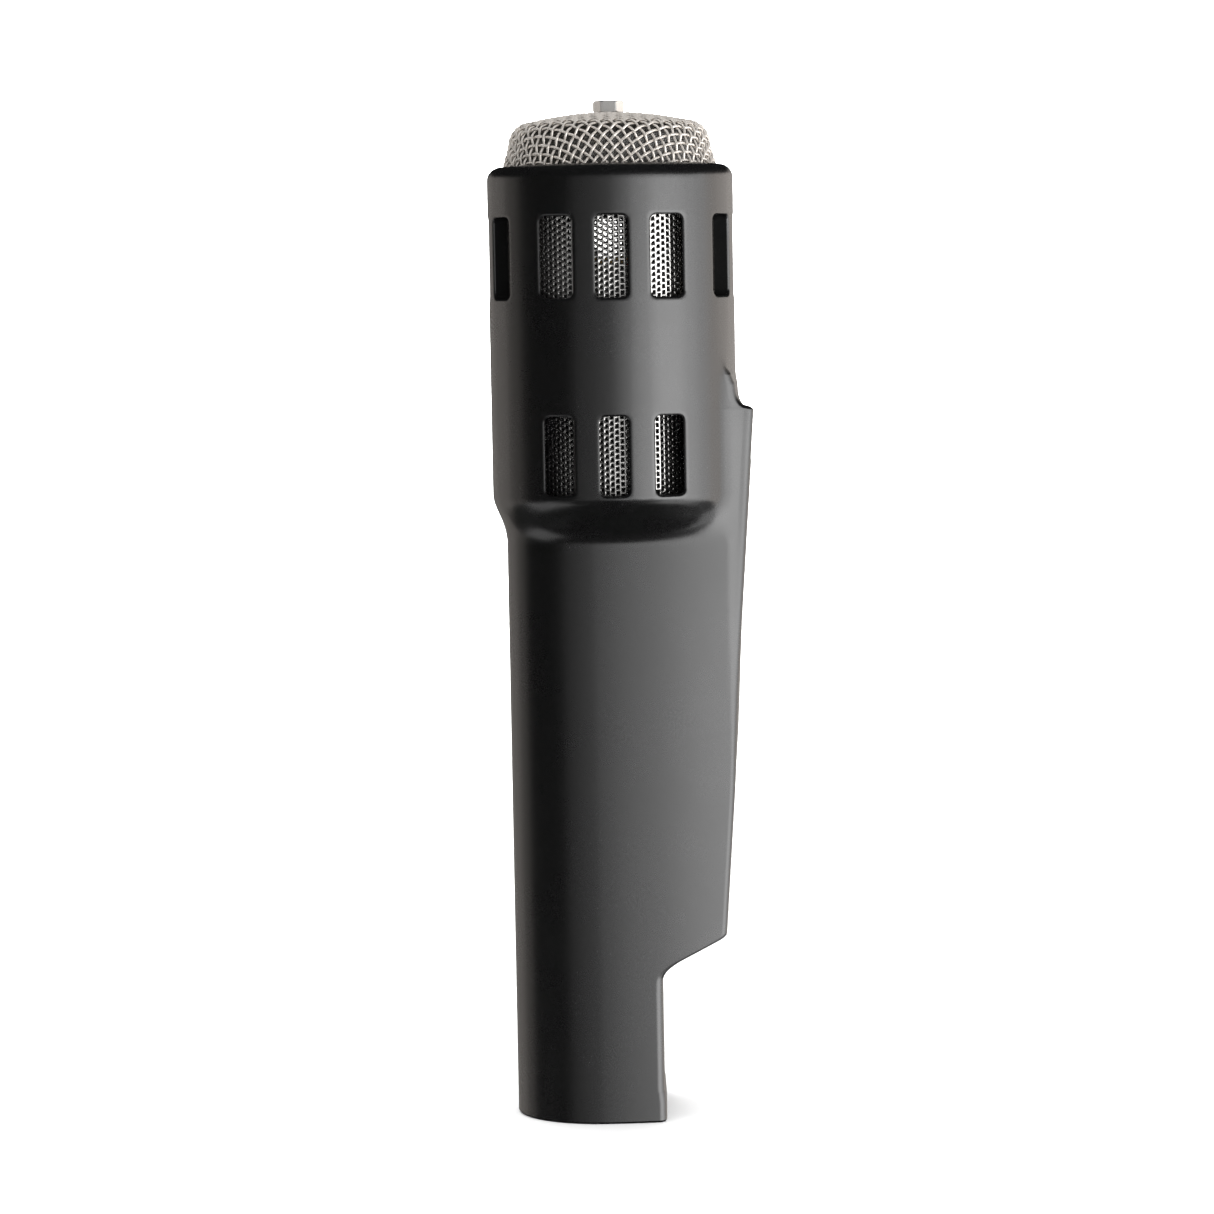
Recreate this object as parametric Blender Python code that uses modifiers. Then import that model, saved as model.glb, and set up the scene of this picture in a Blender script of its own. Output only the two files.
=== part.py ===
"""End-address ribbon microphone, built as an assembly of separate pieces.

Metres, +Z up. The origin is the middle of the whole outline in X and Y, at the level of the
connector end. The fin and its cover face +X, the rounded nose of the handle faces -X.
"""
import math

import bmesh
import bpy
from mathutils import Matrix, Vector

MM = 0.001
FIT_GAP = 0.3 * MM              # clearance between pieces that seat on each other

# Head: a round sleeve with four groups of sound slots in its upper half
HEAD_RADIUS = 28.7 * MM
HEAD_WALL = 3.3 * MM
HEAD_TOP = 222.9 * MM
RIM_ROUNDING = 3.0 * MM
SHOULDER_TOP = 147.0 * MM

# Handle: a teardrop section, round at the nose and flat at the back
NOSE_REACH = 24.8 * MM          # nose, measured forward from the head's axis
HANDLE_HALF = 16.8 * MM         # half of the greatest thickness
CROWN_X = -3.0 * MM             # where the section is thickest
NOSE_POWER = 2.35               # exponent of the nose's superellipse
FLANK_FALL = 4.2                # per metre: how fast the flanks close towards the back
HANDLE_WALL = 3.0 * MM
SHOULDER_HEIGHT = HEAD_RADIUS - HANDLE_HALF - 0.1 * MM    # as high as it steps in

# Fin: the box behind the handle, with its back leaning inwards towards the connector
FIN_TOP = 165.3 * MM
FIN_REACH = HEAD_RADIUS + 3.7 * MM      # back of the fin at its top, from the head's axis
FIN_TAPER = 0.0714
FIN_TOP_SLOPE = math.radians(40)
FIN_BOTTOM = 42.0 * MM          # height where the slanted underside meets the back
UNDERSIDE_REACH = 21.4 * MM
UNDERSIDE_SLOPE = math.radians(26)
FIN_EDGE_ROUNDING = 1.2 * MM
FIN_BLEND = 3.0 * MM            # hollow fillet between fin and head
UNDERSIDE_BLEND = 5.0 * MM
UNDERSIDE_CORNER = 1.7 * MM

# Connector tube
TUBE_BACK = 8.6 * MM
TUBE_EDGE_ROUNDING = 6.5 * MM
HEEL_HEIGHT = 7.0 * MM
HEEL_STEP = 0.4 * MM
END_CHAMFER = 0.5 * MM

# Sound slots, milled straight in from four sides
SLOT_PITCH = 12.7 * MM
SLOT_ROUNDING = 1.5 * MM
UPPER_SLOT_WIDTH = 7.6 * MM
UPPER_SLOT_HEIGHT = 18.7 * MM
UPPER_SLOT_Z = 201.8 * MM
LOWER_SLOT_WIDTH = 6.8 * MM
LOWER_SLOT_HEIGHT = 18.2 * MM
LOWER_SLOT_Z = 156.5 * MM

# Rear cover and its recess
COVER_TOP = 154.8 * MM
COVER_BOTTOM = 49.0 * MM
COVER_WIDTH = 17.0 * MM
COVER_THICKNESS = 1.7 * MM
COVER_PROUD = 0.2 * MM
COVER_CORNER = 2.0 * MM
COVER_LEDGE = 2.4 * MM          # width of the ledge that the cover lies on
COVER_SCREW_INSET = 3.6 * MM
COVER_SCREW_RADIUS = 1.0 * MM
COVER_SCREW_HEAD = 2.0 * MM
COVER_SCREW_LENGTH = 4.6 * MM

# Grille
GRILLE_RADIUS = HEAD_RADIUS - HEAD_WALL - 0.4 * MM
GRILLE_WALL = 0.9 * MM
GRILLE_RISE = 12.6 * MM         # crown above the head's rim
GRILLE_SKIRT = 4.4 * MM         # how far it reaches down into the head
SCREEN_GAP = 0.35 * MM
SCREEN_WALL = 0.4 * MM
RING_WIDTH = 2.2 * MM
RING_HEIGHT = 2.8 * MM
BRIDGE_WIDTH = 7.0 * MM
NUT_FLATS = 6.35 * MM
NUT_HEIGHT = 2.4 * MM
STUD_RADIUS = 1.4 * MM
STUD_HEAD_RADIUS = 2.8 * MM
STUD_HEAD_HEIGHT = 1.8 * MM

# Perforated liners and the plates that carry them
LINER_WALL = 0.5 * MM
UPPER_LINER_REACH = HEAD_RADIUS - HEAD_WALL - 2.2 * MM
UPPER_LINER_POWER = 2.5         # a squarish superellipse
LOWER_LINER_RADIUS = 0.878 * (HEAD_RADIUS - HEAD_WALL)   # clears the shoulder inside
DIVIDER_TOP = 187.0 * MM
DIVIDER_THICKNESS = 3.0 * MM
FLOOR_TOP = 146.9 * MM
FLOOR_THICKNESS = 2.0 * MM
LOWER_LINER_BOTTOM = 145.5 * MM

# Ribbon motor, lying across the head above the divider
MOTOR_LENGTH = 36.0 * MM        # along Y
YOKE_WIDTH = 25.0 * MM
YOKE_HEIGHT = 9.0 * MM
MAGNET_WIDTH = 5.2 * MM
MAGNET_HEIGHT = 5.0 * MM
POLE_THICKNESS = 1.6 * MM
RIBBON_WIDTH = 4.7 * MM
RIBBON_THICKNESS = 0.1 * MM
RIBBON_SIDE_GAP = 0.35 * MM
CLAMP_LENGTH = 4.0 * MM
CLAMP_THICKNESS = 1.6 * MM
CLAMP_SCREW_RADIUS = 0.7 * MM
ISOLATOR_RADIUS = 3.0 * MM
ISOLATOR_HEIGHT = 3.0 * MM

# Labyrinth behind the ribbon
LABYRINTH_RADIUS = 9.5 * MM
LABYRINTH_WALL = 1.5 * MM
FELT_LENGTH = 26.0 * MM

# Transformer
CORE_WIDTH = 24.0 * MM
CORE_DEPTH = 11.0 * MM
CORE_HEIGHT = 26.0 * MM
CORE_LEG = 6.0 * MM             # centre leg; the outer legs are half as wide
CORE_YOKE = 3.5 * MM
WINDING_DEPTH = 20.0 * MM
TRANSFORMER_TOP = 134.0 * MM

# Circuit board
BOARD_WIDTH = 30.0 * MM
BOARD_HEIGHT = 52.0 * MM
BOARD_THICKNESS = 1.6 * MM
BOARD_BOTTOM = 50.0 * MM
BOARD_NOSE_EDGE = -12.0 * MM    # from the head's axis
BOARD_HOLE_INSET = 3.0 * MM
BOARD_SCREW_RADIUS = 1.0 * MM
STANDOFF_RADIUS = 2.0 * MM

# Connector end
BLOCK_BOTTOM = 0.6 * MM
BLOCK_TOP = 24.0 * MM
SOCKET_RADIUS = 8.2 * MM
INSERT_BOTTOM = 16.0 * MM
INSERT_TOP = 25.5 * MM
PIN_RADIUS = 1.2 * MM
PIN_CIRCLE = 3.9 * MM
PIN_BOTTOM = 2.4 * MM
PIN_TOP = 30.0 * MM
GRUB_RADIUS = 1.5 * MM

# Low-cut switch in the fin's slanted underside
SWITCH_ALONG = 9.5 * MM         # place of the switch up the slope, from the underside's upper end
SWITCH_LENGTH = 9.0 * MM        # along Y
SWITCH_WIDTH = 4.0 * MM
SWITCH_DEPTH = 4.0 * MM
SLIDER_WIDTH = 2.0 * MM
SLIDER_LENGTH = 2.2 * MM
SWITCH_TRAVEL = 2.4 * MM

LEAD_RADIUS = 0.5 * MM

# The outline's middle is the origin, so the head's axis lies a little towards the nose
HEAD_X = (HEAD_RADIUS - FIN_REACH) / 2
TUBE_X = HEAD_X + (TUBE_BACK - NOSE_REACH) / 2
POLAR_X = -6.0 * MM             # centre of the polar outlines, from the head's axis

STATIONS = 40                   # points around each outline of the housing

BLACK_SATIN = ("black_satin_alloy", (0.016, 0.016, 0.017), 0.42, 0.3)
BLACK_ALLOY = ("black_alloy", (0.02, 0.02, 0.021), 0.45, 0.4)
STEEL = ("stainless_steel", (0.62, 0.60, 0.57), 0.25, 1.0)
DARK_STEEL = ("dark_steel", (0.09, 0.09, 0.09), 0.4, 1.0)
PERFORATED = ("perforated_steel", (0.66, 0.65, 0.63), 0.2, 1.0)
BRASS = ("brass", (0.70, 0.52, 0.22), 0.3, 1.0)
MAGNET = ("magnet_nickel", (0.55, 0.53, 0.50), 0.22, 1.0)
RIBBON = ("ribbon_aluminium", (0.88, 0.89, 0.90), 0.2, 1.0)
ALLOY = ("machined_alloy", (0.60, 0.61, 0.62), 0.35, 1.0)
RUBBER = ("rubber", (0.03, 0.03, 0.03), 0.8, 0.0)
FELT = ("grey_felt", (0.25, 0.25, 0.26), 0.95, 0.0)
LAMINATION = ("laminated_steel", (0.22, 0.22, 0.23), 0.4, 0.9)
COPPER = ("enamelled_copper", (0.55, 0.22, 0.08), 0.35, 0.8)
BOARD = ("circuit_board", (0.02, 0.16, 0.07), 0.5, 0.0)
PLASTIC = ("black_plastic", (0.03, 0.03, 0.032), 0.5, 0.0)
CAPACITOR = ("capacitor_film", (0.55, 0.08, 0.05), 0.4, 0.0)
CAN = ("capacitor_can", (0.70, 0.71, 0.73), 0.3, 0.9)
GOLD = ("gold_plate", (0.85, 0.62, 0.25), 0.2, 1.0)
WIRE_RED = ("wire_red", (0.45, 0.03, 0.02), 0.5, 0.0)
WIRE_WHITE = ("wire_white", (0.75, 0.74, 0.70), 0.5, 0.0)


# ---------------------------------------------------------------- scene helpers
def clear_scene():
    for old in list(bpy.data.objects):
        bpy.data.objects.remove(old)


def new_collection(name):
    collection = bpy.data.collections.new(name)
    bpy.context.scene.collection.children.link(collection)
    return collection


def material(finish):
    name, colour, roughness, metallic = finish
    found = bpy.data.materials.get(name)
    if found:
        return found
    made = bpy.data.materials.new(name)
    made.use_nodes = True
    shader = made.node_tree.nodes["Principled BSDF"]
    shader.inputs["Base Color"].default_value = (*colour, 1.0)
    shader.inputs["Roughness"].default_value = roughness
    shader.inputs["Metallic"].default_value = metallic
    made.diffuse_color = (*colour, 1.0)
    return made


def piece_from_bmesh(name, bm, finish, smooth_angle=math.radians(35)):
    """Turn a bmesh into an object of the microphone, smooth-shaded up to the given angle."""
    bmesh.ops.recalc_face_normals(bm, faces=bm.faces)
    mesh = bpy.data.meshes.new(name)
    bm.to_mesh(mesh)
    bm.free()
    mesh.shade_smooth()
    mesh.set_sharp_from_angle(angle=smooth_angle)
    piece = bpy.data.objects.new(name, mesh)
    if finish:
        mesh.materials.append(material(finish))
        PARTS.objects.link(piece)
    else:
        CUTTERS.objects.link(piece)
        piece.hide_render = True
        piece.display_type = "WIRE"
    return piece


def box(name, size, centre, finish=None, turn=None, rounding=0.0):
    """A box of the given size; turn is a rotation matrix, rounding a bevel on every edge."""
    bm = bmesh.new()
    bmesh.ops.create_cube(bm, size=1.0)
    bmesh.ops.scale(bm, vec=size, verts=bm.verts)
    if rounding:
        bmesh.ops.bevel(bm, geom=bm.edges[:], offset=rounding, segments=2, profile=0.5,
                        affect="EDGES")
    piece = piece_from_bmesh(name, bm, finish)
    piece.matrix_world = Matrix.Translation(centre) @ (turn or Matrix.Identity(4))
    return piece


def rod(name, radius, start, end, finish=None, sides=20, end_radius=None):
    """A cylinder or cone between two points."""
    start = Vector(start)
    run = Vector(end) - start
    bm = bmesh.new()
    bmesh.ops.create_cone(bm, cap_ends=True, segments=sides, radius1=radius,
                          radius2=radius if end_radius is None else end_radius, depth=run.length)
    piece = piece_from_bmesh(name, bm, finish)
    piece.matrix_world = (Matrix.Translation(start + run / 2)
                          @ run.to_track_quat("Z", "Y").to_matrix().to_4x4())
    return piece


def turned(name, profile, centre, finish, steps=40):
    """A profile of (radius, height) pairs turned about the vertical through centre. A profile
    that starts and ends on the axis makes a solid, any other one closes into a ring."""
    area = sum(r1 * z2 - r2 * z1
               for (r1, z1), (r2, z2) in zip(profile, profile[1:] + profile[:1]))
    if area > 0:
        profile = profile[::-1]
    bm = bmesh.new()
    corners = [bm.verts.new((radius, 0, height)) for radius, height in profile]
    for pair in zip(corners, corners[1:]):
        bm.edges.new(pair)
    if profile[0][0] > 0:
        bm.edges.new((corners[-1], corners[0]))
    piece = piece_from_bmesh(name, bm, finish)
    piece.location = centre
    screw = piece.modifiers.new("Turn", "SCREW")
    screw.steps = steps
    screw.render_steps = steps
    screw.use_merge_vertices = True
    screw.merge_threshold = 0.01 * MM
    return piece


def cut(piece, cutters):
    """Take each cutter out of the piece."""
    for cutter in cutters:
        modifier = piece.modifiers.new("Cut " + cutter.name, "BOOLEAN")
        modifier.operation = "DIFFERENCE"
        modifier.object = cutter
        modifier.solver = "MANIFOLD"


def join(piece, others):
    """Add each other shape to the piece."""
    for other in others:
        modifier = piece.modifiers.new("Join " + other.name, "BOOLEAN")
        modifier.operation = "UNION"
        modifier.object = other
        modifier.solver = "MANIFOLD"


def slab(name, outline, base, height, finish=None):
    """A flat outline of (x, y) points, extruded upwards from base."""
    bm = bmesh.new()
    face = bm.faces.new([bm.verts.new((x, y, base)) for x, y in outline])
    grown = bmesh.ops.extrude_face_region(bm, geom=[face])
    top = [item for item in grown["geom"] if isinstance(item, bmesh.types.BMVert)]
    bmesh.ops.translate(bm, vec=(0, 0, height), verts=top)
    return piece_from_bmesh(name, bm, finish)


def rounded_rectangle(width, height, corner, corner_steps=4):
    """Points around a rectangle with round corners, centred on the origin."""
    points = []
    for quarter in range(4):
        side_x = 1 if quarter in (0, 3) else -1
        side_y = 1 if quarter < 2 else -1
        for step in range(corner_steps + 1):
            angle = math.pi / 2 * (quarter + step / corner_steps)
            points.append((side_x * (width / 2 - corner) + corner * math.cos(angle),
                           side_y * (height / 2 - corner) + corner * math.sin(angle)))
    return points


def wire(name, points, radius, finish):
    """An insulated lead along a smooth curve through the given points, as a closed tube."""
    path = smooth_path([Vector(point) for point in points], 3)
    curve = bpy.data.curves.new(name, "CURVE")
    curve.dimensions = "3D"
    curve.bevel_depth = radius
    curve.bevel_resolution = 1
    curve.use_fill_caps = True
    spline = curve.splines.new("POLY")
    spline.points.add(len(path) - 1)
    for slot, point in zip(spline.points, path):
        slot.co = (*point, 1.0)
    piece = bpy.data.objects.new(name, curve)
    curve.materials.append(material(finish))
    PARTS.objects.link(piece)
    return piece


def smooth_path(points, steps):
    """Catmull-Rom curve through the points, with the given number of steps per span."""
    padded = [points[0] * 2 - points[1]] + points + [points[-1] * 2 - points[-2]]
    path = []
    for before, start, end, after in zip(padded, padded[1:], padded[2:], padded[3:]):
        for step in range(steps):
            t = step / steps
            path.append((start * 2 + (end - before) * t
                         + (before * 2 - start * 5 + end * 4 - after) * t * t
                         + (start * 3 - before - end * 3 + after) * t ** 3) / 2)
    path.append(points[-1])
    return path


# ---------------------------------------------------------------- the housing's outline
def smoothstep(value):
    value = min(max(value, 0.0), 1.0)
    return value * value * (3 - 2 * value)


def soft_max(first, second, blend):
    return max(first, second) + max(blend - abs(first - second), 0.0) ** 2 / (4 * blend)


def soft_min(first, second, blend):
    return -soft_max(-first, -second, blend)


def half_thickness(x, inset):
    """Half of the handle's thickness at x from the head's axis, less the inset."""
    if x >= CROWN_X:
        return HANDLE_HALF - inset - FLANK_FALL * (x - CROWN_X) ** 2
    share = (CROWN_X - x) / (NOSE_REACH + CROWN_X - inset)
    if share >= 1:
        return -(share - 1) * HANDLE_HALF
    return (HANDLE_HALF - inset) * (1 - share ** NOSE_POWER) ** (1 / NOSE_POWER)


def back_limit(z, inset):
    """Distance of the flat back from the head's axis at height z, less the inset."""
    corner_z = FIN_TOP - inset
    leaning = FIN_REACH - inset - FIN_TAPER * (FIN_TOP - z)
    saddle = FIN_REACH - inset - (z - corner_z) / math.tan(FIN_TOP_SLOPE)
    fin = min(leaning, saddle)
    underside = (UNDERSIDE_REACH - inset
                 + (z - inset - FIN_BOTTOM) / math.tan(UNDERSIDE_SLOPE))
    fin = soft_min(fin, underside, UNDERSIDE_CORNER)
    heel = HEEL_STEP if z < HEEL_HEIGHT and not inset else 0.0
    return soft_max(TUBE_BACK - inset + heel, fin, UNDERSIDE_BLEND)


def back_rounding(z, inset):
    """Radius of the upright edges of the flat back: wide on the tube, narrow on the fin."""
    share = smoothstep((z - FIN_BOTTOM + 12 * MM) / (12 * MM))
    radius = TUBE_EDGE_ROUNDING + share * (FIN_EDGE_ROUNDING - TUBE_EDGE_ROUNDING)
    return max(radius - inset, 0.4 * MM)


def handle_radius(angle, z, inset):
    """Polar radius of the handle and fin section, found by halving the interval."""
    limit = back_limit(z, inset)
    rounding = back_rounding(z, inset)
    inside, outside = 0.0, 60 * MM
    for _ in range(30):
        middle = (inside + outside) / 2
        x = POLAR_X + middle * math.cos(angle)
        y = abs(middle * math.sin(angle))
        past_back = x - limit + rounding
        past_flank = y - half_thickness(x, inset) + rounding
        field = (math.hypot(max(past_back, 0.0), max(past_flank, 0.0))
                 + min(max(past_back, past_flank), 0.0) - rounding)
        if field < 0:
            inside = middle
        else:
            outside = middle
    return inside


def head_radius(angle, radius):
    """Polar radius of the round head, seen from the outlines' own centre."""
    return (-POLAR_X * math.cos(angle)
            + math.sqrt(radius ** 2 - (POLAR_X * math.sin(angle)) ** 2))


def housing_radius(angle, z, inset):
    """Polar radius of the housing's skin at height z; inset moves it into the wall."""
    handle = handle_radius(angle, z, inset)
    head = head_radius(angle, HEAD_RADIUS - (HEAD_WALL if inset else 0.0))
    share = smoothstep((SHOULDER_TOP + inset * 0.6 - z) / SHOULDER_HEIGHT)
    bowl = head + (min(handle, head) - head) * share
    if z > FIN_TOP + FIN_BLEND * 3:
        return bowl
    return soft_max(bowl, handle, FIN_BLEND if not inset else MM)


def station_angles():
    """Angles around an outline, closer together where the fin's back edges lie."""
    bunching = 0.5
    turns = [2 * math.pi * index / STATIONS for index in range(STATIONS)]
    return [turn - bunching * math.sin(turn) for turn in turns]


def spread(start, end, count):
    """Evenly spaced heights from start towards end, leaving the end out."""
    return [start + (end - start) * index / count for index in range(count)]


def outer_levels():
    """Heights of the outer skin's rings, from the connector end to just below the rim."""
    rise_start = FIN_BOTTOM - 14 * MM
    levels = [HEEL_HEIGHT - 0.1 * MM, HEEL_HEIGHT + 0.1 * MM]
    levels += spread(rise_start, FIN_BOTTOM - 3 * MM, 7)
    levels += spread(FIN_BOTTOM - 3 * MM, FIN_BOTTOM + 4 * MM, 5)
    levels += [FIN_BOTTOM + 4 * MM, (FIN_BOTTOM + SHOULDER_TOP) / 2]
    levels += spread(SHOULDER_TOP - SHOULDER_HEIGHT, SHOULDER_TOP, 8)
    levels += [SHOULDER_TOP, FIN_TOP]
    levels += spread(FIN_TOP + 0.6 * MM, FIN_TOP + 8 * MM, 7)
    levels += [FIN_TOP + 8 * MM]
    return levels


def inner_levels():
    """Heights of the cavity's rings, from the head downwards."""
    floor = FIN_BOTTOM + HANDLE_WALL
    top = FIN_TOP - HANDLE_WALL
    levels = [top + 6 * MM, top + 3 * MM, top]
    levels += spread(SHOULDER_TOP + 2 * MM, SHOULDER_TOP - SHOULDER_HEIGHT, 6)
    levels += [SHOULDER_TOP - SHOULDER_HEIGHT, floor + 4 * MM]
    levels += spread(floor + 1 * MM, floor - 14 * MM, 6)
    levels += [floor - 14 * MM]
    return levels


def ring_points(angles, z, inset, shrink=0.0):
    """One ring of the housing's skin, as points in the part's own frame."""
    points = []
    for angle in angles:
        radius = housing_radius(angle, z, inset) - shrink
        points.append((HEAD_X + POLAR_X + radius * math.cos(angle), radius * math.sin(angle), z))
    return points


def round_ring(angles, radius, z):
    """A ring of the head alone, with any radius about the head's axis."""
    points = []
    for angle in angles:
        polar = head_radius(angle, radius)
        points.append((HEAD_X + POLAR_X + polar * math.cos(angle), polar * math.sin(angle), z))
    return points


def loft(name, rings, finish, closed=True):
    """A skin over rings with equal numbers of points; closed joins the last ring to the first,
    otherwise both ends are capped."""
    bm = bmesh.new()
    rows = [[bm.verts.new(point) for point in ring] for ring in rings]
    pairs = list(zip(rows, rows[1:]))
    if closed:
        pairs.append((rows[-1], rows[0]))
    for lower, upper in pairs:
        for index, vertex in enumerate(lower):
            after = (index + 1) % len(lower)
            bm.faces.new((vertex, lower[after], upper[after], upper[index]))
    if not closed:
        bm.faces.new(rows[0])
        bm.faces.new(rows[-1])
    return piece_from_bmesh(name, bm, finish)


# ---------------------------------------------------------------- the back plane of the fin
def back_frame(z, depth=0.0, across=0.0):
    """Point on the fin's leaning back at height z, moved inwards by depth and sideways."""
    lean = math.atan(FIN_TAPER)
    outer = Vector((HEAD_X + FIN_REACH - FIN_TAPER * (FIN_TOP - z), across, z))
    inward = Vector((-math.cos(lean), 0, math.sin(lean)))
    return outer + inward * depth


def back_turn():
    """Rotation that lays a box's X axis along the normal of the fin's back."""
    return Matrix.Rotation(math.atan(FIN_TAPER), 4, "Y")


def back_plate(name, width, height, corner, inner, outer, finish=None):
    """A rounded plate parallel to the fin's back, between two depths under its surface."""
    outline = rounded_rectangle(width, height, corner)
    plate = slab(name, outline, 0.0, inner - outer, finish)
    middle = back_frame((COVER_TOP + COVER_BOTTOM) / 2, inner)
    axes = back_turn() @ Matrix.Rotation(math.pi / 2, 4, "Y") @ Matrix.Rotation(math.pi / 2, 4, "Z")
    plate.matrix_world = Matrix.Translation(middle) @ axes
    return plate


def cover_screw_places():
    """Height and sideways place of each of the cover's four screws."""
    sideways = COVER_WIDTH / 2 - COVER_SCREW_INSET
    return [(height, side * sideways)
            for height in (COVER_TOP - COVER_SCREW_INSET, COVER_BOTTOM + COVER_SCREW_INSET)
            for side in (-1, 1)]


# ---------------------------------------------------------------- the pieces
def slot_cutters(tag, width, height, z, sides):
    """Cutters of one row of slots; each runs through both opposite walls of the head."""
    cutters = []
    reach = HEAD_RADIUS + 3 * MM
    for side in sides:
        for place in (-1, 0, 1):
            outline = rounded_rectangle(width, height, SLOT_ROUNDING, corner_steps=3)
            name = f"cutter_{tag}_{side}_{place + 1}"
            cutter = slab(name, outline, -reach, 2 * reach)
            upright = Matrix.Rotation(math.pi / 2, 4, "X")
            if side == "x":
                upright = Matrix.Rotation(math.pi / 2, 4, "Z") @ upright
                centre = Vector((HEAD_X, place * SLOT_PITCH, z))
            else:
                centre = Vector((HEAD_X + place * SLOT_PITCH, 0, z))
            cutter.matrix_world = Matrix.Translation(centre) @ upright
            cutters.append(cutter)
    return cutters


def switch_frame():
    """Matrix of the switch: Z looks into the fin, Y across it, at the underside's surface."""
    run = SWITCH_ALONG
    x = HEAD_X + UNDERSIDE_REACH - run * math.cos(UNDERSIDE_SLOPE)
    z = FIN_BOTTOM - run * math.sin(UNDERSIDE_SLOPE)
    return Matrix.Translation((x, 0, z)) @ Matrix.Rotation(-UNDERSIDE_SLOPE, 4, "Y")


def make_housing():
    angles = station_angles()
    rings = [ring_points(angles, 0.0, 0.0, shrink=END_CHAMFER),
             ring_points(angles, END_CHAMFER, 0.0)]
    rings += [ring_points(angles, z, 0.0) for z in outer_levels()]
    for step in range(5):
        turn = math.pi / 2 * step / 4
        radius = HEAD_RADIUS - RIM_ROUNDING * (1 - math.cos(turn))
        rings.append(round_ring(angles, radius, HEAD_TOP - RIM_ROUNDING * (1 - math.sin(turn))))
    rings.append(round_ring(angles, HEAD_RADIUS - HEAD_WALL, HEAD_TOP - 0.2 * MM))
    rings += [ring_points(angles, z, HANDLE_WALL) for z in inner_levels()]
    rings.append(ring_points(angles, 0.0, HANDLE_WALL))
    housing = loft("housing", rings, BLACK_SATIN)

    cutters = slot_cutters("upper", UPPER_SLOT_WIDTH, UPPER_SLOT_HEIGHT, UPPER_SLOT_Z, "yx")
    cutters += slot_cutters("lower", LOWER_SLOT_WIDTH, LOWER_SLOT_HEIGHT, LOWER_SLOT_Z, "y")
    height = COVER_TOP - COVER_BOTTOM
    recess_depth = COVER_THICKNESS + FIT_GAP - COVER_PROUD
    cutters.append(back_plate("cutter_cover_recess", COVER_WIDTH + 2 * FIT_GAP,
                              height + 2 * FIT_GAP, COVER_CORNER + FIT_GAP,
                              recess_depth, -3 * MM))
    window_top = 2 * COVER_SCREW_INSET + 2 * COVER_LEDGE
    cutters.append(back_plate("cutter_cover_window", COVER_WIDTH - 2 * COVER_LEDGE,
                              height - window_top, COVER_CORNER, HANDLE_WALL + 3 * MM, -3 * MM))
    for index, (z, across) in enumerate(cover_screw_places()):
        cutters.append(rod(f"cutter_cover_screw_{index + 1}", COVER_SCREW_RADIUS + FIT_GAP,
                           back_frame(z, -2 * MM, across),
                           back_frame(z, HANDLE_WALL + 3 * MM, across), sides=12))
    window = box("cutter_switch_window",
                 (SLIDER_WIDTH + 2 * FIT_GAP, SLIDER_LENGTH + SWITCH_TRAVEL + 2 * FIT_GAP,
                  2 * HANDLE_WALL + 2 * MM), (0, 0, 0))
    window.matrix_world = switch_frame()
    cutters.append(window)
    grub_z = (INSERT_BOTTOM + BLOCK_TOP) / 2
    cutters.append(rod("cutter_grub", GRUB_RADIUS + FIT_GAP,
                       (HEAD_X + TUBE_BACK - 2 * HANDLE_WALL, 0, grub_z),
                       (HEAD_X + TUBE_BACK + 2 * MM, 0, grub_z), sides=12))
    cut(housing, cutters)
    return housing


def make_rear_cover():
    height = COVER_TOP - COVER_BOTTOM
    cover = back_plate("rear_cover", COVER_WIDTH, height, COVER_CORNER,
                       COVER_THICKNESS - COVER_PROUD, -COVER_PROUD, BLACK_SATIN)
    holes = []
    for index, (z, across) in enumerate(cover_screw_places()):
        holes.append(rod(f"cutter_cover_hole_{index + 1}", COVER_SCREW_RADIUS + FIT_GAP,
                         back_frame(z, -2 * MM, across), back_frame(z, 3 * MM, across), sides=12))
        holes.append(rod(f"cutter_cover_sink_{index + 1}", COVER_SCREW_HEAD + 2 * FIT_GAP + MM,
                         back_frame(z, -COVER_PROUD - MM, across),
                         back_frame(z, COVER_SCREW_HEAD - COVER_SCREW_RADIUS - COVER_PROUD, across),
                         sides=20, end_radius=COVER_SCREW_RADIUS + FIT_GAP))
    cut(cover, holes)
    for index, (z, across) in enumerate(cover_screw_places()):
        make_countersunk_screw(f"rear_cover_screw_{index + 1}", z, across)


def make_countersunk_screw(name, z, across):
    """Turned screw with a flush conical head and a hexagon socket."""
    sink = COVER_SCREW_HEAD - COVER_SCREW_RADIUS
    profile = [(0.0, 0.0), (COVER_SCREW_HEAD, 0.0), (COVER_SCREW_HEAD, -0.1 * MM),
               (COVER_SCREW_RADIUS, -sink), (COVER_SCREW_RADIUS, -COVER_SCREW_LENGTH),
               (0.0, -COVER_SCREW_LENGTH)]
    screw = turned(name, profile, (0, 0, 0), DARK_STEEL, 16)
    axis = (back_frame(z, -1, across) - back_frame(z, 0, across)).normalized()
    place = (Matrix.Translation(back_frame(z, -COVER_PROUD, across))
             @ axis.to_track_quat("Z", "Y").to_matrix().to_4x4())
    screw.matrix_world = place
    socket = rod(name.replace("rear_cover_screw", "cutter_socket"), 0.75 * MM,
                 (0, 0, -0.9 * MM), (0, 0, MM), sides=6)
    socket.matrix_world = place @ socket.matrix_world
    cut(screw, [socket])


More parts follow.
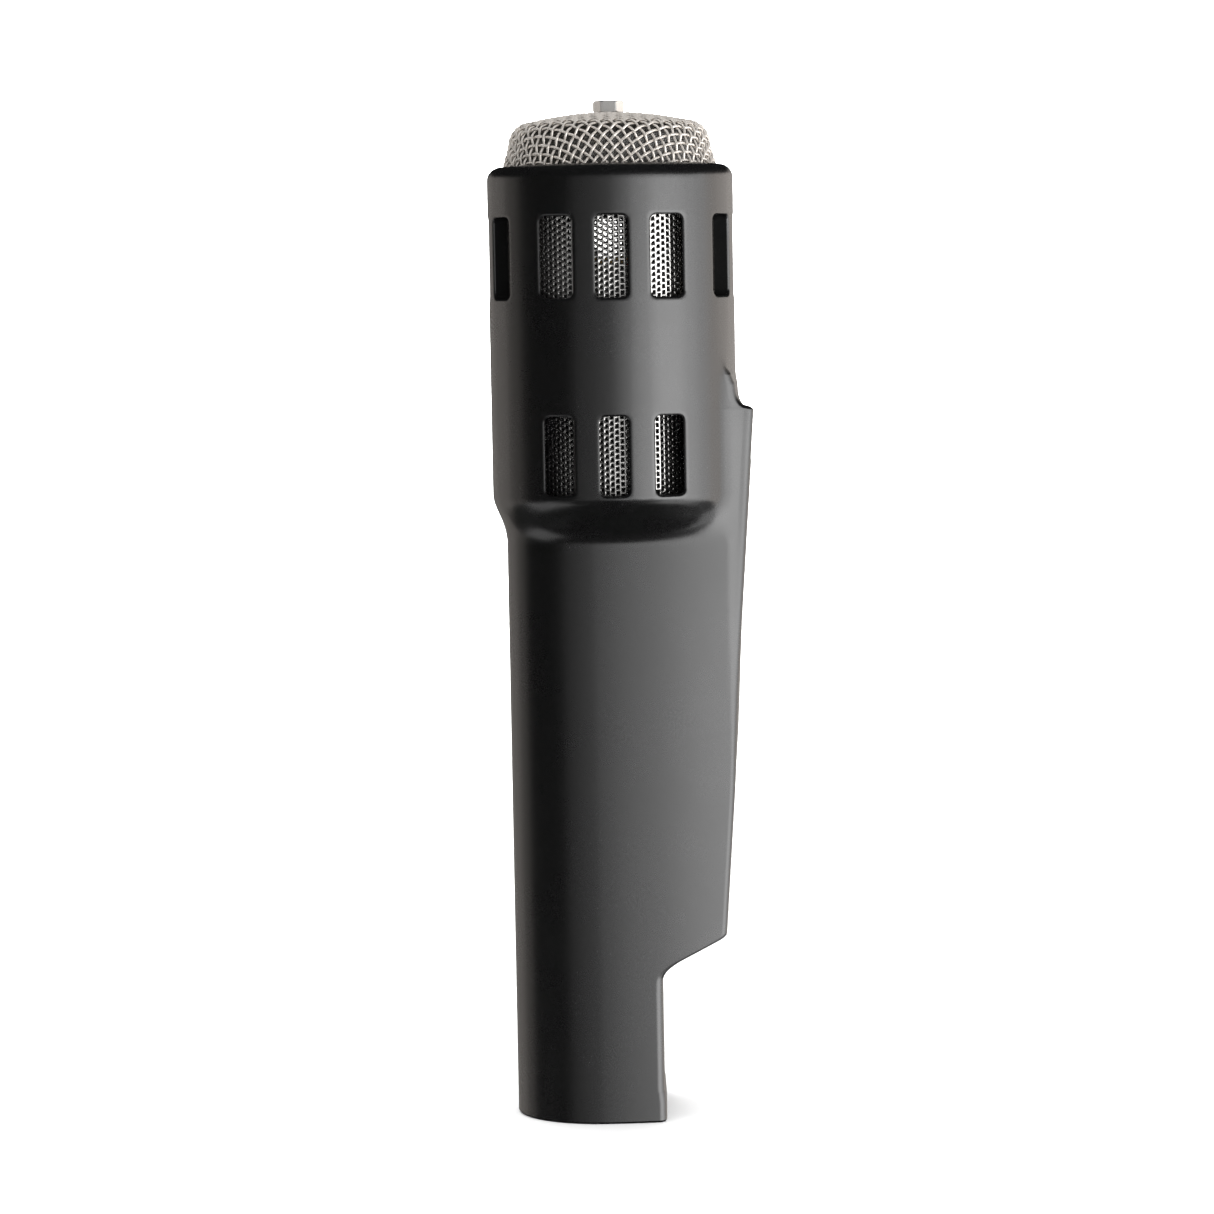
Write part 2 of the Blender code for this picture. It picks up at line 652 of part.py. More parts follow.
def grille_profile(inset, wall, bottom):
    """Section of a domed wall: an upright skirt, a wide round shoulder and a low crown."""
    rise = GRILLE_RISE - inset
    corner = 7.5 * MM - inset
    lean = 1.4 * MM
    crown = 2.6 * MM

    def skin(offset):
        reach = GRILLE_RADIUS - inset - offset
        radius = corner - offset
        corner_x = reach - lean - radius
        top = rise - offset - crown
        points = [(reach, bottom), (reach, 0.0)]
        for step in range(5):
            turn = math.pi / 2 * step / 4
            points.append((corner_x + radius * math.cos(turn),
                           top - radius + radius * math.sin(turn)))
        for share in (0.66, 0.33):
            points.append((corner_x * share, top + crown * (1 - share ** 2)))
        points.append((STUD_RADIUS + FIT_GAP, top + crown))
        return points

    return skin(0.0) + skin(wall)[::-1]


def make_grille():
    centre = (HEAD_X, 0, HEAD_TOP)
    bottom = -GRILLE_SKIRT
    turned("grille_dome", grille_profile(0.0, GRILLE_WALL, bottom), centre, STEEL, steps=32)
    inset = GRILLE_WALL + SCREEN_GAP
    turned("grille_screen", grille_profile(inset, SCREEN_WALL, bottom), centre, STEEL, steps=32)

    ring_top = HEAD_TOP - GRILLE_SKIRT - FIT_GAP
    ring_middle = ring_top - RING_HEIGHT / 2
    outer = HEAD_RADIUS - HEAD_WALL - FIT_GAP
    ring = turned("grille_ring", [(outer, 0.0), (outer, RING_HEIGHT),
                                  (outer - RING_WIDTH, RING_HEIGHT), (outer - RING_WIDTH, 0.0)],
                  (HEAD_X, 0, ring_top - RING_HEIGHT), ALLOY, steps=36)
    bar = box("cutter_bridge", (2 * outer - RING_WIDTH, BRIDGE_WIDTH, RING_HEIGHT - 0.4 * MM),
              (HEAD_X, 0, ring_middle))
    join(ring, [bar])
    cut(ring, [rod("cutter_stud_hole", STUD_RADIUS + FIT_GAP,
                   (HEAD_X, 0, ring_top - RING_HEIGHT - MM), (HEAD_X, 0, ring_top + MM))])

    nut_bottom = HEAD_TOP + GRILLE_RISE + 0.1 * MM
    nut_top = nut_bottom + NUT_HEIGHT
    nut = rod("grille_nut", NUT_FLATS / math.sqrt(3), (HEAD_X, 0, nut_bottom),
              (HEAD_X, 0, nut_top), STEEL, sides=6)
    cut(nut, [rod("cutter_nut_bore", STUD_RADIUS + FIT_GAP / 2, (HEAD_X, 0, nut_bottom - MM),
                  (HEAD_X, 0, nut_top + MM), sides=20)])
    bar_bottom = ring_top - RING_HEIGHT + 0.2 * MM
    head_top = bar_bottom - FIT_GAP
    head_bottom = head_top - STUD_HEAD_HEIGHT
    stud_profile = [(0.0, nut_top - 0.3 * MM), (STUD_RADIUS, nut_top - 0.3 * MM),
                    (STUD_RADIUS, head_top), (STUD_HEAD_RADIUS, head_top),
                    (STUD_HEAD_RADIUS, head_bottom), (0.0, head_bottom)]
    turned("centre_stud", stud_profile, (HEAD_X, 0, 0), STEEL, 20)


def superellipse(reach, power, steps):
    """Points around a squarish round, reach from the middle along each axis."""
    points = []
    for index in range(steps):
        angle = 2 * math.pi * index / steps
        across, along = math.cos(angle), math.sin(angle)
        radius = reach / (abs(across) ** power + abs(along) ** power) ** (1 / power)
        points.append((HEAD_X + radius * across, radius * along))
    return points


def make_liners():
    top = HEAD_TOP - GRILLE_SKIRT - 2 * FIT_GAP - RING_HEIGHT
    bottom = DIVIDER_TOP + FIT_GAP
    rings = []
    for reach, z in ((UPPER_LINER_REACH, bottom), (UPPER_LINER_REACH, top),
                     (UPPER_LINER_REACH - LINER_WALL, top),
                     (UPPER_LINER_REACH - LINER_WALL, bottom)):
        rings.append([(x, y, z) for x, y in superellipse(reach, UPPER_LINER_POWER, 48)])
    loft("upper_liner", rings, PERFORATED)

    lower_top = DIVIDER_TOP - DIVIDER_THICKNESS - FIT_GAP
    inner = LOWER_LINER_RADIUS - LINER_WALL
    turned("lower_liner", [(LOWER_LINER_RADIUS, LOWER_LINER_BOTTOM),
                           (LOWER_LINER_RADIUS, lower_top), (inner, lower_top),
                           (inner, LOWER_LINER_BOTTOM)], (HEAD_X, 0, 0), PERFORATED, steps=48)


def lead_places():
    """Where the two ribbon leads pass through the divider and the head's floor."""
    return [(HEAD_X + 15 * MM, side * 9 * MM) for side in (-1, 1)]


def make_plates():
    radius = HEAD_RADIUS - HEAD_WALL - FIT_GAP
    bottom = DIVIDER_TOP - DIVIDER_THICKNESS
    divider = rod("chamber_divider", radius, (HEAD_X, 0, bottom), (HEAD_X, 0, DIVIDER_TOP),
                  ALLOY, sides=48)
    holes = [rod(f"cutter_divider_lead_{index + 1}", 2.5 * LEAD_RADIUS,
                 (x, y, bottom - MM), (x, y, DIVIDER_TOP + MM), sides=10)
             for index, (x, y) in enumerate(lead_places())]
    holes.append(rod("cutter_divider_port", LABYRINTH_RADIUS - LABYRINTH_WALL,
                     (HEAD_X, 0, bottom - MM), (HEAD_X, 0, DIVIDER_TOP + MM), sides=28))
    cut(divider, holes)

    floor_radius = LOWER_LINER_RADIUS - LINER_WALL - FIT_GAP
    floor_bottom = FLOOR_TOP - FLOOR_THICKNESS
    floor = rod("head_floor", floor_radius, (HEAD_X, 0, floor_bottom), (HEAD_X, 0, FLOOR_TOP),
                ALLOY, sides=48)
    cut(floor, [rod(f"cutter_floor_lead_{index + 1}", 2.5 * LEAD_RADIUS,
                    (x, y, floor_bottom - MM), (x, y, FLOOR_TOP + MM), sides=10)
                for index, (x, y) in enumerate(lead_places())])


def make_labyrinth():
    bottom = FLOOR_TOP + FIT_GAP
    top = DIVIDER_TOP - DIVIDER_THICKNESS - FIT_GAP
    inner = LABYRINTH_RADIUS - LABYRINTH_WALL
    turned("labyrinth_tube", [(LABYRINTH_RADIUS, bottom), (LABYRINTH_RADIUS, top), (inner, top),
                              (inner, bottom)], (HEAD_X, 0, 0), PLASTIC, steps=28)
    rod("damping_felt", inner - FIT_GAP, (HEAD_X, 0, bottom + FIT_GAP),
        (HEAD_X, 0, bottom + FELT_LENGTH), FELT, sides=24)


def make_motor():
    """Yoke, magnets, poles, ribbon and clamps, on four rubber isolators on the divider."""
    base = DIVIDER_TOP + 2 * FIT_GAP + ISOLATOR_HEIGHT
    floor = 2.0 * MM
    gap_half = RIBBON_WIDTH / 2 + RIBBON_SIDE_GAP
    yoke_length = MOTOR_LENGTH
    yoke = box("motor_yoke", (YOKE_WIDTH, yoke_length, YOKE_HEIGHT),
               (HEAD_X, 0, base + YOKE_HEIGHT / 2), DARK_STEEL)
    end_wall = 5.0 * MM
    side_wall = 2.4 * MM
    pocket = box("cutter_yoke_pocket",
                 (YOKE_WIDTH - 2 * side_wall, yoke_length - 2 * end_wall, YOKE_HEIGHT),
                 (HEAD_X, 0, base + floor + YOKE_HEIGHT / 2))
    port = box("cutter_yoke_port", (2 * gap_half, yoke_length - 2 * end_wall - 4 * MM, 4 * floor),
               (HEAD_X, 0, base + floor / 2))
    cut(yoke, [pocket, port])

    magnet_z = base + floor + FIT_GAP + MAGNET_HEIGHT / 2
    magnet_length = yoke_length - 2 * end_wall - 2 * FIT_GAP
    pole_x = gap_half + POLE_THICKNESS / 2
    magnet_x = gap_half + POLE_THICKNESS + FIT_GAP + MAGNET_WIDTH / 2
    for side, word in ((-1, "front"), (1, "rear")):
        box(f"magnet_{word}", (MAGNET_WIDTH, magnet_length, MAGNET_HEIGHT),
            (HEAD_X + side * magnet_x, 0, magnet_z), MAGNET)
        box(f"pole_piece_{word}", (POLE_THICKNESS, magnet_length, MAGNET_HEIGHT + MM),
            (HEAD_X + side * pole_x, 0, magnet_z + MM / 2), DARK_STEEL)

    ribbon_z = base + YOKE_HEIGHT + FIT_GAP
    box("ribbon", (RIBBON_WIDTH, yoke_length, RIBBON_THICKNESS), (HEAD_X, 0, ribbon_z), RIBBON)
    clamp_z = ribbon_z + FIT_GAP + CLAMP_THICKNESS / 2
    screw_x = RIBBON_WIDTH / 2 + 2.2 * MM
    for side, word in ((-1, "left"), (1, "right")):
        clamp_y = side * (yoke_length - CLAMP_LENGTH) / 2
        clamp = box(f"ribbon_clamp_{word}",
                    (2 * screw_x + 4 * MM, CLAMP_LENGTH, CLAMP_THICKNESS),
                    (HEAD_X, clamp_y, clamp_z), BRASS)
        clamp_holes, yoke_holes = [], []
        for end in (-1, 1):
            x = HEAD_X + end * screw_x
            tag = f"{word}_{(end + 3) // 2}"
            shank_bottom = ribbon_z - 3 * MM
            clamp_holes.append(rod(f"cutter_clamp_{tag}", CLAMP_SCREW_RADIUS + FIT_GAP,
                                   (x, clamp_y, clamp_z - 2 * MM), (x, clamp_y, clamp_z + 2 * MM),
                                   sides=10))
            yoke_holes.append(rod(f"cutter_yoke_{tag}", CLAMP_SCREW_RADIUS + FIT_GAP,
                                  (x, clamp_y, shank_bottom - FIT_GAP),
                                  (x, clamp_y, ribbon_z + MM), sides=10))
            under_head = clamp_z + CLAMP_THICKNESS / 2 + FIT_GAP
            turned(f"clamp_screw_{tag}",
                   [(0.0, 1.0 * MM), (1.3 * MM, 1.0 * MM), (1.3 * MM, 0.0),
                    (CLAMP_SCREW_RADIUS, 0.0), (CLAMP_SCREW_RADIUS, shank_bottom - under_head),
                    (0.0, shank_bottom - under_head)],
                   (x, clamp_y, under_head), STEEL, 12)
        cut(clamp, clamp_holes)
        cut(yoke, yoke_holes)

    for index in range(4):
        x = HEAD_X + (1 if index % 2 else -1) * (YOKE_WIDTH / 2 - ISOLATOR_RADIUS)
        y = (1 if index // 2 else -1) * (yoke_length / 2 - ISOLATOR_RADIUS)
        rod(f"isolator_{index + 1}", ISOLATOR_RADIUS, (x, y, DIVIDER_TOP + FIT_GAP),
            (x, y, DIVIDER_TOP + FIT_GAP + ISOLATOR_HEIGHT), RUBBER, sides=16)


def make_transformer():
    """Laminated core with a winding round its centre leg, held by a bracket under the head."""
    x = TUBE_X + 3 * MM
    middle = TRANSFORMER_TOP - CORE_HEIGHT / 2
    core = box("transformer_core", (CORE_WIDTH, CORE_DEPTH, CORE_HEIGHT), (x, 0, middle),
               LAMINATION)
    window_width = (CORE_WIDTH - 2 * CORE_LEG) / 2
    window_height = CORE_HEIGHT - 2 * CORE_YOKE
    cut(core, [box(f"cutter_core_window_{side + 2}", (window_width, 2 * CORE_DEPTH, window_height),
                   (x + side * (CORE_LEG + window_width) / 2, 0, middle)) for side in (-1, 1)])
    coil_width = CORE_LEG + 2 * window_width - 2 * FIT_GAP
    coil = box("transformer_winding", (coil_width, WINDING_DEPTH, window_height - 2 * FIT_GAP),
               (x, 0, middle), COPPER, rounding=1.2 * MM)
    cut(coil, [box("cutter_coil_bore", (CORE_LEG + 2 * FIT_GAP, CORE_DEPTH + 2 * FIT_GAP,
                                        CORE_HEIGHT + MM), (x, 0, middle))])
    return x


def make_bracket(core_x):
    """Strap under the core with an ear on each side that reaches the handle's wall."""
    top = TRANSFORMER_TOP - CORE_HEIGHT - FIT_GAP
    thickness = 1.2 * MM
    reach = CORE_WIDTH / 4
    half = min(half_thickness(core_x - HEAD_X + side * reach, HANDLE_WALL) for side in (-1, 1))
    half -= 2 * FIT_GAP
    bracket = box("transformer_bracket", (CORE_WIDTH * 0.5, 2 * half, thickness),
                  (core_x, 0, top - thickness / 2), ALLOY)
    ear_height = 8 * MM
    ears = []
    for side in (-1, 1):
        ears.append(box(f"cutter_ear_{side + 2}", (CORE_WIDTH * 0.5, thickness, ear_height),
                        (core_x, side * (half - thickness / 2), top - ear_height / 2)))
    join(bracket, ears)


def board_hole_places():
    """The board's two fixing holes, in opposite corners."""
    left = HEAD_X + BOARD_NOSE_EDGE + BOARD_HOLE_INSET
    right = HEAD_X + BOARD_NOSE_EDGE + BOARD_WIDTH - BOARD_HOLE_INSET
    low = BOARD_BOTTOM + BOARD_HOLE_INSET
    high = BOARD_BOTTOM + BOARD_HEIGHT - BOARD_HOLE_INSET
    return [(left, low), (right, high)]


def make_board():
    """Circuit board in the middle plane, on two stand-offs from the +Y flank."""
    centre_x = HEAD_X + BOARD_NOSE_EDGE + BOARD_WIDTH / 2
    centre_z = BOARD_BOTTOM + BOARD_HEIGHT / 2
    board = box("circuit_board", (BOARD_WIDTH, BOARD_THICKNESS, BOARD_HEIGHT),
                (centre_x, 0, centre_z), BOARD)
    face = BOARD_THICKNESS / 2
    holes = []
    for index, (x, z) in enumerate(board_hole_places()):
        wall = half_thickness(x - HEAD_X + STANDOFF_RADIUS, HANDLE_WALL) - 2 * FIT_GAP
        standoff = rod(f"standoff_{index + 1}", STANDOFF_RADIUS, (x, face + FIT_GAP, z),
                       (x, wall, z), BRASS, sides=6)
        bore_end = face + FIT_GAP + 4 * MM
        cut(standoff, [rod(f"cutter_standoff_{index + 1}", BOARD_SCREW_RADIUS + FIT_GAP,
                           (x, 0, z), (x, bore_end, z), sides=10)])
        holes.append(rod(f"cutter_board_{index + 1}", BOARD_SCREW_RADIUS + FIT_GAP,
                         (x, -3 * MM, z), (x, 3 * MM, z), sides=10))
        screw = turned(f"board_screw_{index + 1}",
                       [(0.0, 1.3 * MM), (1.9 * MM, 1.3 * MM), (1.9 * MM, 0.0),
                        (BOARD_SCREW_RADIUS, 0.0), (BOARD_SCREW_RADIUS, -5 * MM),
                        (0.0, -5 * MM)], (0, 0, 0), STEEL, 12)
        screw.matrix_world = (Matrix.Translation((x, -face - FIT_GAP, z))
                              @ Matrix.Rotation(math.pi / 2, 4, "X"))
    cut(board, holes)

    surface = -face - FIT_GAP
    film = Vector((9 * MM, 6 * MM, 8 * MM))
    for index in range(2):
        box(f"film_capacitor_{index + 1}", film,
            (centre_x - 5 * MM + 11 * MM * index, surface - film.y / 2, centre_z + 13 * MM),
            CAPACITOR, rounding=0.6 * MM)
    rod("supply_capacitor", 4 * MM, (centre_x - 3 * MM, surface, centre_z - 4 * MM),
        (centre_x - 3 * MM, surface - 9 * MM, centre_z - 4 * MM), CAN, sides=20)
    for index in range(2):
        x = centre_x + 8 * MM
        low = centre_z - 10 * MM + 8 * MM * index
        transistor = rod(f"transistor_{index + 1}", 2.2 * MM, (x, surface - 2.2 * MM, low),
                         (x, surface - 2.2 * MM, low + 4.5 * MM), PLASTIC, sides=16)
        flat = box(f"cutter_transistor_{index + 1}", (6 * MM, 2 * MM, 6 * MM),
                   (x, surface - 4.6 * MM, low + 2.3 * MM))
        cut(transistor, [flat])
    return centre_x


def make_connector():
    """Block that fills the tube's end and forms the socket, with its insert and three pins."""
    angles = station_angles()
    inset = HANDLE_WALL + FIT_GAP
    rings = [ring_points(angles, z, inset) for z in (BLOCK_BOTTOM, BLOCK_TOP)]
    block = loft("connector_block", rings, BLACK_ALLOY, closed=False)
    grub_z = (INSERT_BOTTOM + BLOCK_TOP) / 2
    back = HEAD_X + TUBE_BACK
    cut(block, [rod("cutter_socket_bore", SOCKET_RADIUS, (TUBE_X, 0, -MM),
                    (TUBE_X, 0, BLOCK_TOP + MM), sides=36),
                rod("cutter_block_grub", GRUB_RADIUS + FIT_GAP,
                    (TUBE_X + SOCKET_RADIUS - 2 * MM, 0, grub_z), (back, 0, grub_z), sides=12)])
    insert = rod("connector_insert", SOCKET_RADIUS - FIT_GAP, (TUBE_X, 0, INSERT_BOTTOM),
                 (TUBE_X, 0, INSERT_TOP), PLASTIC, sides=36)
    holes = []
    for index in range(3):
        angle = math.pi / 6 + index * 2 * math.pi / 3
        x = TUBE_X + PIN_CIRCLE * math.cos(angle)
        y = PIN_CIRCLE * math.sin(angle)
        holes.append(rod(f"cutter_pin_{index + 1}", PIN_RADIUS + FIT_GAP,
                         (x, y, INSERT_BOTTOM - MM), (x, y, INSERT_TOP + MM), sides=12))
        rod(f"contact_pin_{index + 1}", PIN_RADIUS, (x, y, PIN_BOTTOM), (x, y, PIN_TOP), GOLD,
            sides=14)
    cut(insert, holes)
    rod("connector_grub_screw", GRUB_RADIUS, (TUBE_X + SOCKET_RADIUS + FIT_GAP, 0, grub_z),
        (back - 0.5 * MM, 0, grub_z), DARK_STEEL, sides=12)


def make_switch():
    """Slide switch behind the underside's window: a body and the slider that moves along Y."""
    frame = switch_frame()
    inner_face = HANDLE_WALL + 1.2 * MM
    body = box("low_cut_switch", (SWITCH_WIDTH, SWITCH_LENGTH, SWITCH_DEPTH), (0, 0, 0), DARK_STEEL)
    body.matrix_world = frame @ Matrix.Translation((0, 0, inner_face + SWITCH_DEPTH / 2))
    groove = box("cutter_switch_groove",
                 (SLIDER_WIDTH + 2 * FIT_GAP, SLIDER_LENGTH + SWITCH_TRAVEL + 2 * FIT_GAP,
                  2 * MM), (0, 0, 0))
    groove.matrix_world = frame @ Matrix.Translation((0, 0, inner_face))
    cut(body, [groove])
    tip = 0.6 * MM
    root = inner_face + MM - FIT_GAP
    slider = box("low_cut_slider", (SLIDER_WIDTH, SLIDER_LENGTH, root - tip), (0, 0, 0), PLASTIC)
    slider.matrix_world = frame @ Matrix.Translation((0, -SWITCH_TRAVEL / 2, (root + tip) / 2))


def make_leads(core_x, board):
    """Thin leads: ribbon to transformer, transformer to board, board to connector."""
    board_x = board
    motor_y = MOTOR_LENGTH / 2 + 1.2 * MM
    clamp_z = DIVIDER_TOP + 3 * FIT_GAP + ISOLATOR_HEIGHT + YOKE_HEIGHT + 1.1 * MM
    core_top = TRANSFORMER_TOP + LEAD_RADIUS + FIT_GAP
    for (x, y), word in zip(lead_places(), ("left", "right")):
        side = 1 if y > 0 else -1
        wire(f"ribbon_lead_{word}", [
            (HEAD_X + 3 * MM, side * motor_y, clamp_z),
            (HEAD_X + 9 * MM, side * (motor_y + 0.4 * MM), clamp_z - 5 * MM),
            (HEAD_X + YOKE_WIDTH / 2 + 1.5 * MM, side * MOTOR_LENGTH / 2, DIVIDER_TOP + 6 * MM),
            (x + MM, side * 12 * MM, DIVIDER_TOP + 2.5 * MM),
            (x, y, DIVIDER_TOP - DIVIDER_THICKNESS / 2),
            (x, y, (DIVIDER_TOP + FLOOR_TOP) / 2),
            (x, y, FLOOR_TOP - FLOOR_THICKNESS / 2),
            (x - 4 * MM, side * 6 * MM, FLOOR_TOP - 7 * MM),
            (core_x + 5 * MM, side * 3 * MM, core_top + 0.6 * MM),
            (core_x, side * 3 * MM, core_top)], LEAD_RADIUS, WIRE_RED if side < 0 else WIRE_WHITE)
    board_top = BOARD_BOTTOM + BOARD_HEIGHT + LEAD_RADIUS + FIT_GAP
    bracket_bottom = TRANSFORMER_TOP - CORE_HEIGHT - 2 * MM
    edge = core_x + CORE_WIDTH / 2 + LEAD_RADIUS + FIT_GAP
    wire("transformer_lead", [
        (edge, 0, TRANSFORMER_TOP - 8 * MM), (edge, 0, bracket_bottom + 3 * MM),
        (edge - MM, 0, bracket_bottom - 3 * MM), (board_x, 0, board_top + 0.6 * MM),
        (board_x - 2 * MM, 0, board_top)], LEAD_RADIUS, WIRE_RED)
    pin_y = PIN_CIRCLE * math.sin(math.pi / 6)
    pin_x = TUBE_X + PIN_CIRCLE * math.cos(math.pi / 6)
    wire("output_lead", [
        (pin_x, pin_y, PIN_TOP + LEAD_RADIUS + FIT_GAP),
        (pin_x + 0.5 * MM, pin_y, PIN_TOP + 6 * MM),
        (board_x - 6 * MM, 0.6 * MM, BOARD_BOTTOM - 5 * MM),
        (board_x - 6 * MM, 0, BOARD_BOTTOM - LEAD_RADIUS - FIT_GAP)], LEAD_RADIUS, WIRE_WHITE)


clear_scene()
PARTS = new_collection("ribbon_microphone")
CUTTERS = new_collection("cutters")
make_housing()
make_rear_cover()
make_grille()
make_liners()
make_plates()
make_labyrinth()
make_motor()
transformer_x = make_transformer()
make_bracket(transformer_x)
board_middle = make_board()
make_connector()
make_switch()
make_leads(transformer_x, board_middle)
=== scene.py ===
import math
import bmesh
import bpy
import numpy as np
from mathutils import Matrix, Vector


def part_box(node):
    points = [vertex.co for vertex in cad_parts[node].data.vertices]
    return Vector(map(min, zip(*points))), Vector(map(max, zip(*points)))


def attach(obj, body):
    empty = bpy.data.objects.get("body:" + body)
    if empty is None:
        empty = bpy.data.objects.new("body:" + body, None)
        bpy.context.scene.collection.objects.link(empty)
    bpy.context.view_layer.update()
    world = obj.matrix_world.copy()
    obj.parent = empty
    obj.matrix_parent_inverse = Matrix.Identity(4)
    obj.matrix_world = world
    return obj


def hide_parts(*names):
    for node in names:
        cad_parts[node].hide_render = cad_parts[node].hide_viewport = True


# Looks of an end-address ribbon microphone: black housing, wire grille, perforated liners.
# Shapes are worked out in millimetres and stored in metres.
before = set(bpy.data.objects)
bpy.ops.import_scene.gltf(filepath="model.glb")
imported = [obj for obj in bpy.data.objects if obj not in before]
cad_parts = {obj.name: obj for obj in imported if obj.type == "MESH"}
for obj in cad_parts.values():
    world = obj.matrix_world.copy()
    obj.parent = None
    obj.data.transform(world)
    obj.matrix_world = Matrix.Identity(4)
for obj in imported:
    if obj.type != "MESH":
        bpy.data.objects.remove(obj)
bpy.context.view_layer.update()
scene = bpy.context.scene
mm = 0.001
fullTurn = 2 * math.pi
wholeBody, sliderBody = "microphone", "switch_slider"


def nodeBox(node):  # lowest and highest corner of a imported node, in millimetres
    low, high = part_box(node)
    return np.array(low) / mm, np.array(high) / mm


def evenTurns(steps):  # angles evenly spaced round the circle
    return np.arange(steps) / steps * fullTurn


def laidOut(points, matrix):  # points along a frame's own axes, in millimetres, put in place
    return points @ np.array(matrix.to_3x3()).T + np.array(matrix.translation) / mm


def usedOnly(points, blocks):  # drops the points that no face uses and renumbers the faces
    used = np.unique(np.concatenate([block.ravel() for block in blocks]))
    renumber = np.full(len(points), -1)
    renumber[used] = np.arange(len(used))
    return points[used], [renumber[block] for block in blocks]


def gridFaces(rows, columns, wrapRows=False, wrapColumns=False):
    # quads of a grid: rows climb, columns run anticlockwise, so the faces look outwards
    i, j = np.meshgrid(np.arange(rows - (not wrapRows)), np.arange(columns - (not wrapColumns)),
                       indexing="ij")
    up, on = (i + 1) % rows, (j + 1) % columns
    return np.stack([i * columns + j, i * columns + on, up * columns + on, up * columns + j], -1)


def newMesh(name, points, faceBlocks, smoothAngle=35, merge=False):
    # smooth shading, broken at every edge sharper than the given degrees
    faces = []
    for block in faceBlocks:
        faces += np.asarray(block).reshape(-1, np.asarray(block).shape[-1]).tolist()
    mesh = bpy.data.meshes.new(name)
    mesh.from_pydata((np.asarray(points, float).reshape(-1, 3) * mm).tolist(), [], faces)
    if merge:  # poles and seams become single points
        work = bmesh.new()
        work.from_mesh(mesh)
        bmesh.ops.remove_doubles(work, verts=work.verts, dist=1e-6)
        work.to_mesh(mesh)
        work.free()
    mesh.validate()
    mesh.shade_smooth()
    mesh.set_sharp_from_angle(angle=math.radians(smoothAngle))
    return mesh


def newPiece(name, mesh, material, body=wholeBody, standsFor=()):
    # puts a mesh on its body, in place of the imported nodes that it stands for
    piece = bpy.data.objects.new(name, mesh)
    scene.collection.objects.link(piece)
    mesh.materials.clear()
    mesh.materials.append(material)
    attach(piece, body)
    if standsFor:
        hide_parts(*standsFor)
    return piece


def roundedProfile(corners, steps=5):
    # each corner (across, up, rounding) becomes a quadratic curve that touches both its sides
    spots = [np.array(corner[:2], float) for corner in corners]
    line = []
    for index, (across, up, rounding) in enumerate(corners):
        if rounding == 0:
            line.append(spots[index])
            continue
        sides = [spots[index - 1] - spots[index], spots[(index + 1) % len(spots)] - spots[index]]
        start, end = [spots[index] + side / np.linalg.norm(side) * rounding for side in sides]
        t = np.linspace(0, 1, steps)[:, None]
        line.extend((1 - t) ** 2 * start + 2 * t * (1 - t) * spots[index] + t ** 2 * end)
    return np.array(line)


def turnedPoints(profile, centre, steps):
    # a profile of (radius, height) carried round the vertical through centre
    turns, radius = evenTurns(steps), profile[:, :1]
    return np.stack([centre[0] + radius * np.cos(turns), centre[1] + radius * np.sin(turns),
                     centre[2] + np.repeat(profile[:, 1:], steps, 1)], -1)


def turnedMesh(name, corners, centre, steps=64):  # a rounded profile turned, closed at its poles
    profile = roundedProfile(corners)
    return newMesh(name, turnedPoints(profile, centre, steps),
                   [gridFaces(len(profile), steps, wrapColumns=True)], merge=True)


# the housing is a round head over a teardrop handle with a fin at its back
housingHigh = nodeBox("housing")[1]
shape = {
    "wall": 3.3, "rimRounding": 3.0,                      # head
    "shoulderTop": 147.0, "shoulderHeight": 11.8,
    "noseReach": 24.8, "halfThickness": 16.8, "crown": -4.8,  # teardrop section
    "nosePower": 2.05, "flankFall": 0.0042, "skin": 3.0,
    "finTop": 166.2, "finTaper": 0.0714, "saddleHeight": 5.6, "saddleDepth": 4.4,  # fin
    "finBottom": 42.0, "undersideReach": 21.4, "undersideSlope": 26.0,
    "edgeRounding": 1.2, "finBlend": 3.0, "undersideBlend": 5.0, "undersideCorner": 1.7,
    "tubeBack": 8.6, "tubeRounding": 1.7,                 # connector tube
    "heelHeight": 7.0, "heelStep": 0.4, "endChamfer": 0.5,
    "pole": -6.0, "sharpAngle": 32,                       # centre of the polar outlines
}
dividerLow, dividerHigh = nodeBox("chamber_divider")
insertLow, insertHigh = nodeBox("connector_insert")
headX = (dividerLow[0] + dividerHigh[0]) / 2
tubeX = (insertLow[0] + insertHigh[0]) / 2
headRadius = housingHigh[1]
headTop = housingHigh[2]
finReach = housingHigh[0] - headX


def smoothStep(value):  # 0 to 1 with level ends: three squares less two cubes
    value = np.clip(value, 0, 1)
    return value * value * (3 - 2 * value)


def softMax(first, second, blend):  # the larger one, rounded where the two come close
    return (np.maximum(first, second)
            + np.maximum(blend - np.abs(first - second), 0) ** 2 / (4 * blend))


def halfThickness(x, inset):
    # parabola behind the crown, superellipse in front of it
    flank = shape["halfThickness"] - inset - shape["flankFall"] * (x - shape["crown"]) ** 2
    share = (shape["crown"] - x) / (shape["noseReach"] + shape["crown"] - inset)
    power = shape["nosePower"]
    nose = (shape["halfThickness"] - inset) * (1 - np.clip(share, 0, 1) ** power) ** (1 / power)
    nose = np.where(share >= 1, (1 - share) * shape["halfThickness"], nose)
    return np.where(x >= shape["crown"], flank, nose)


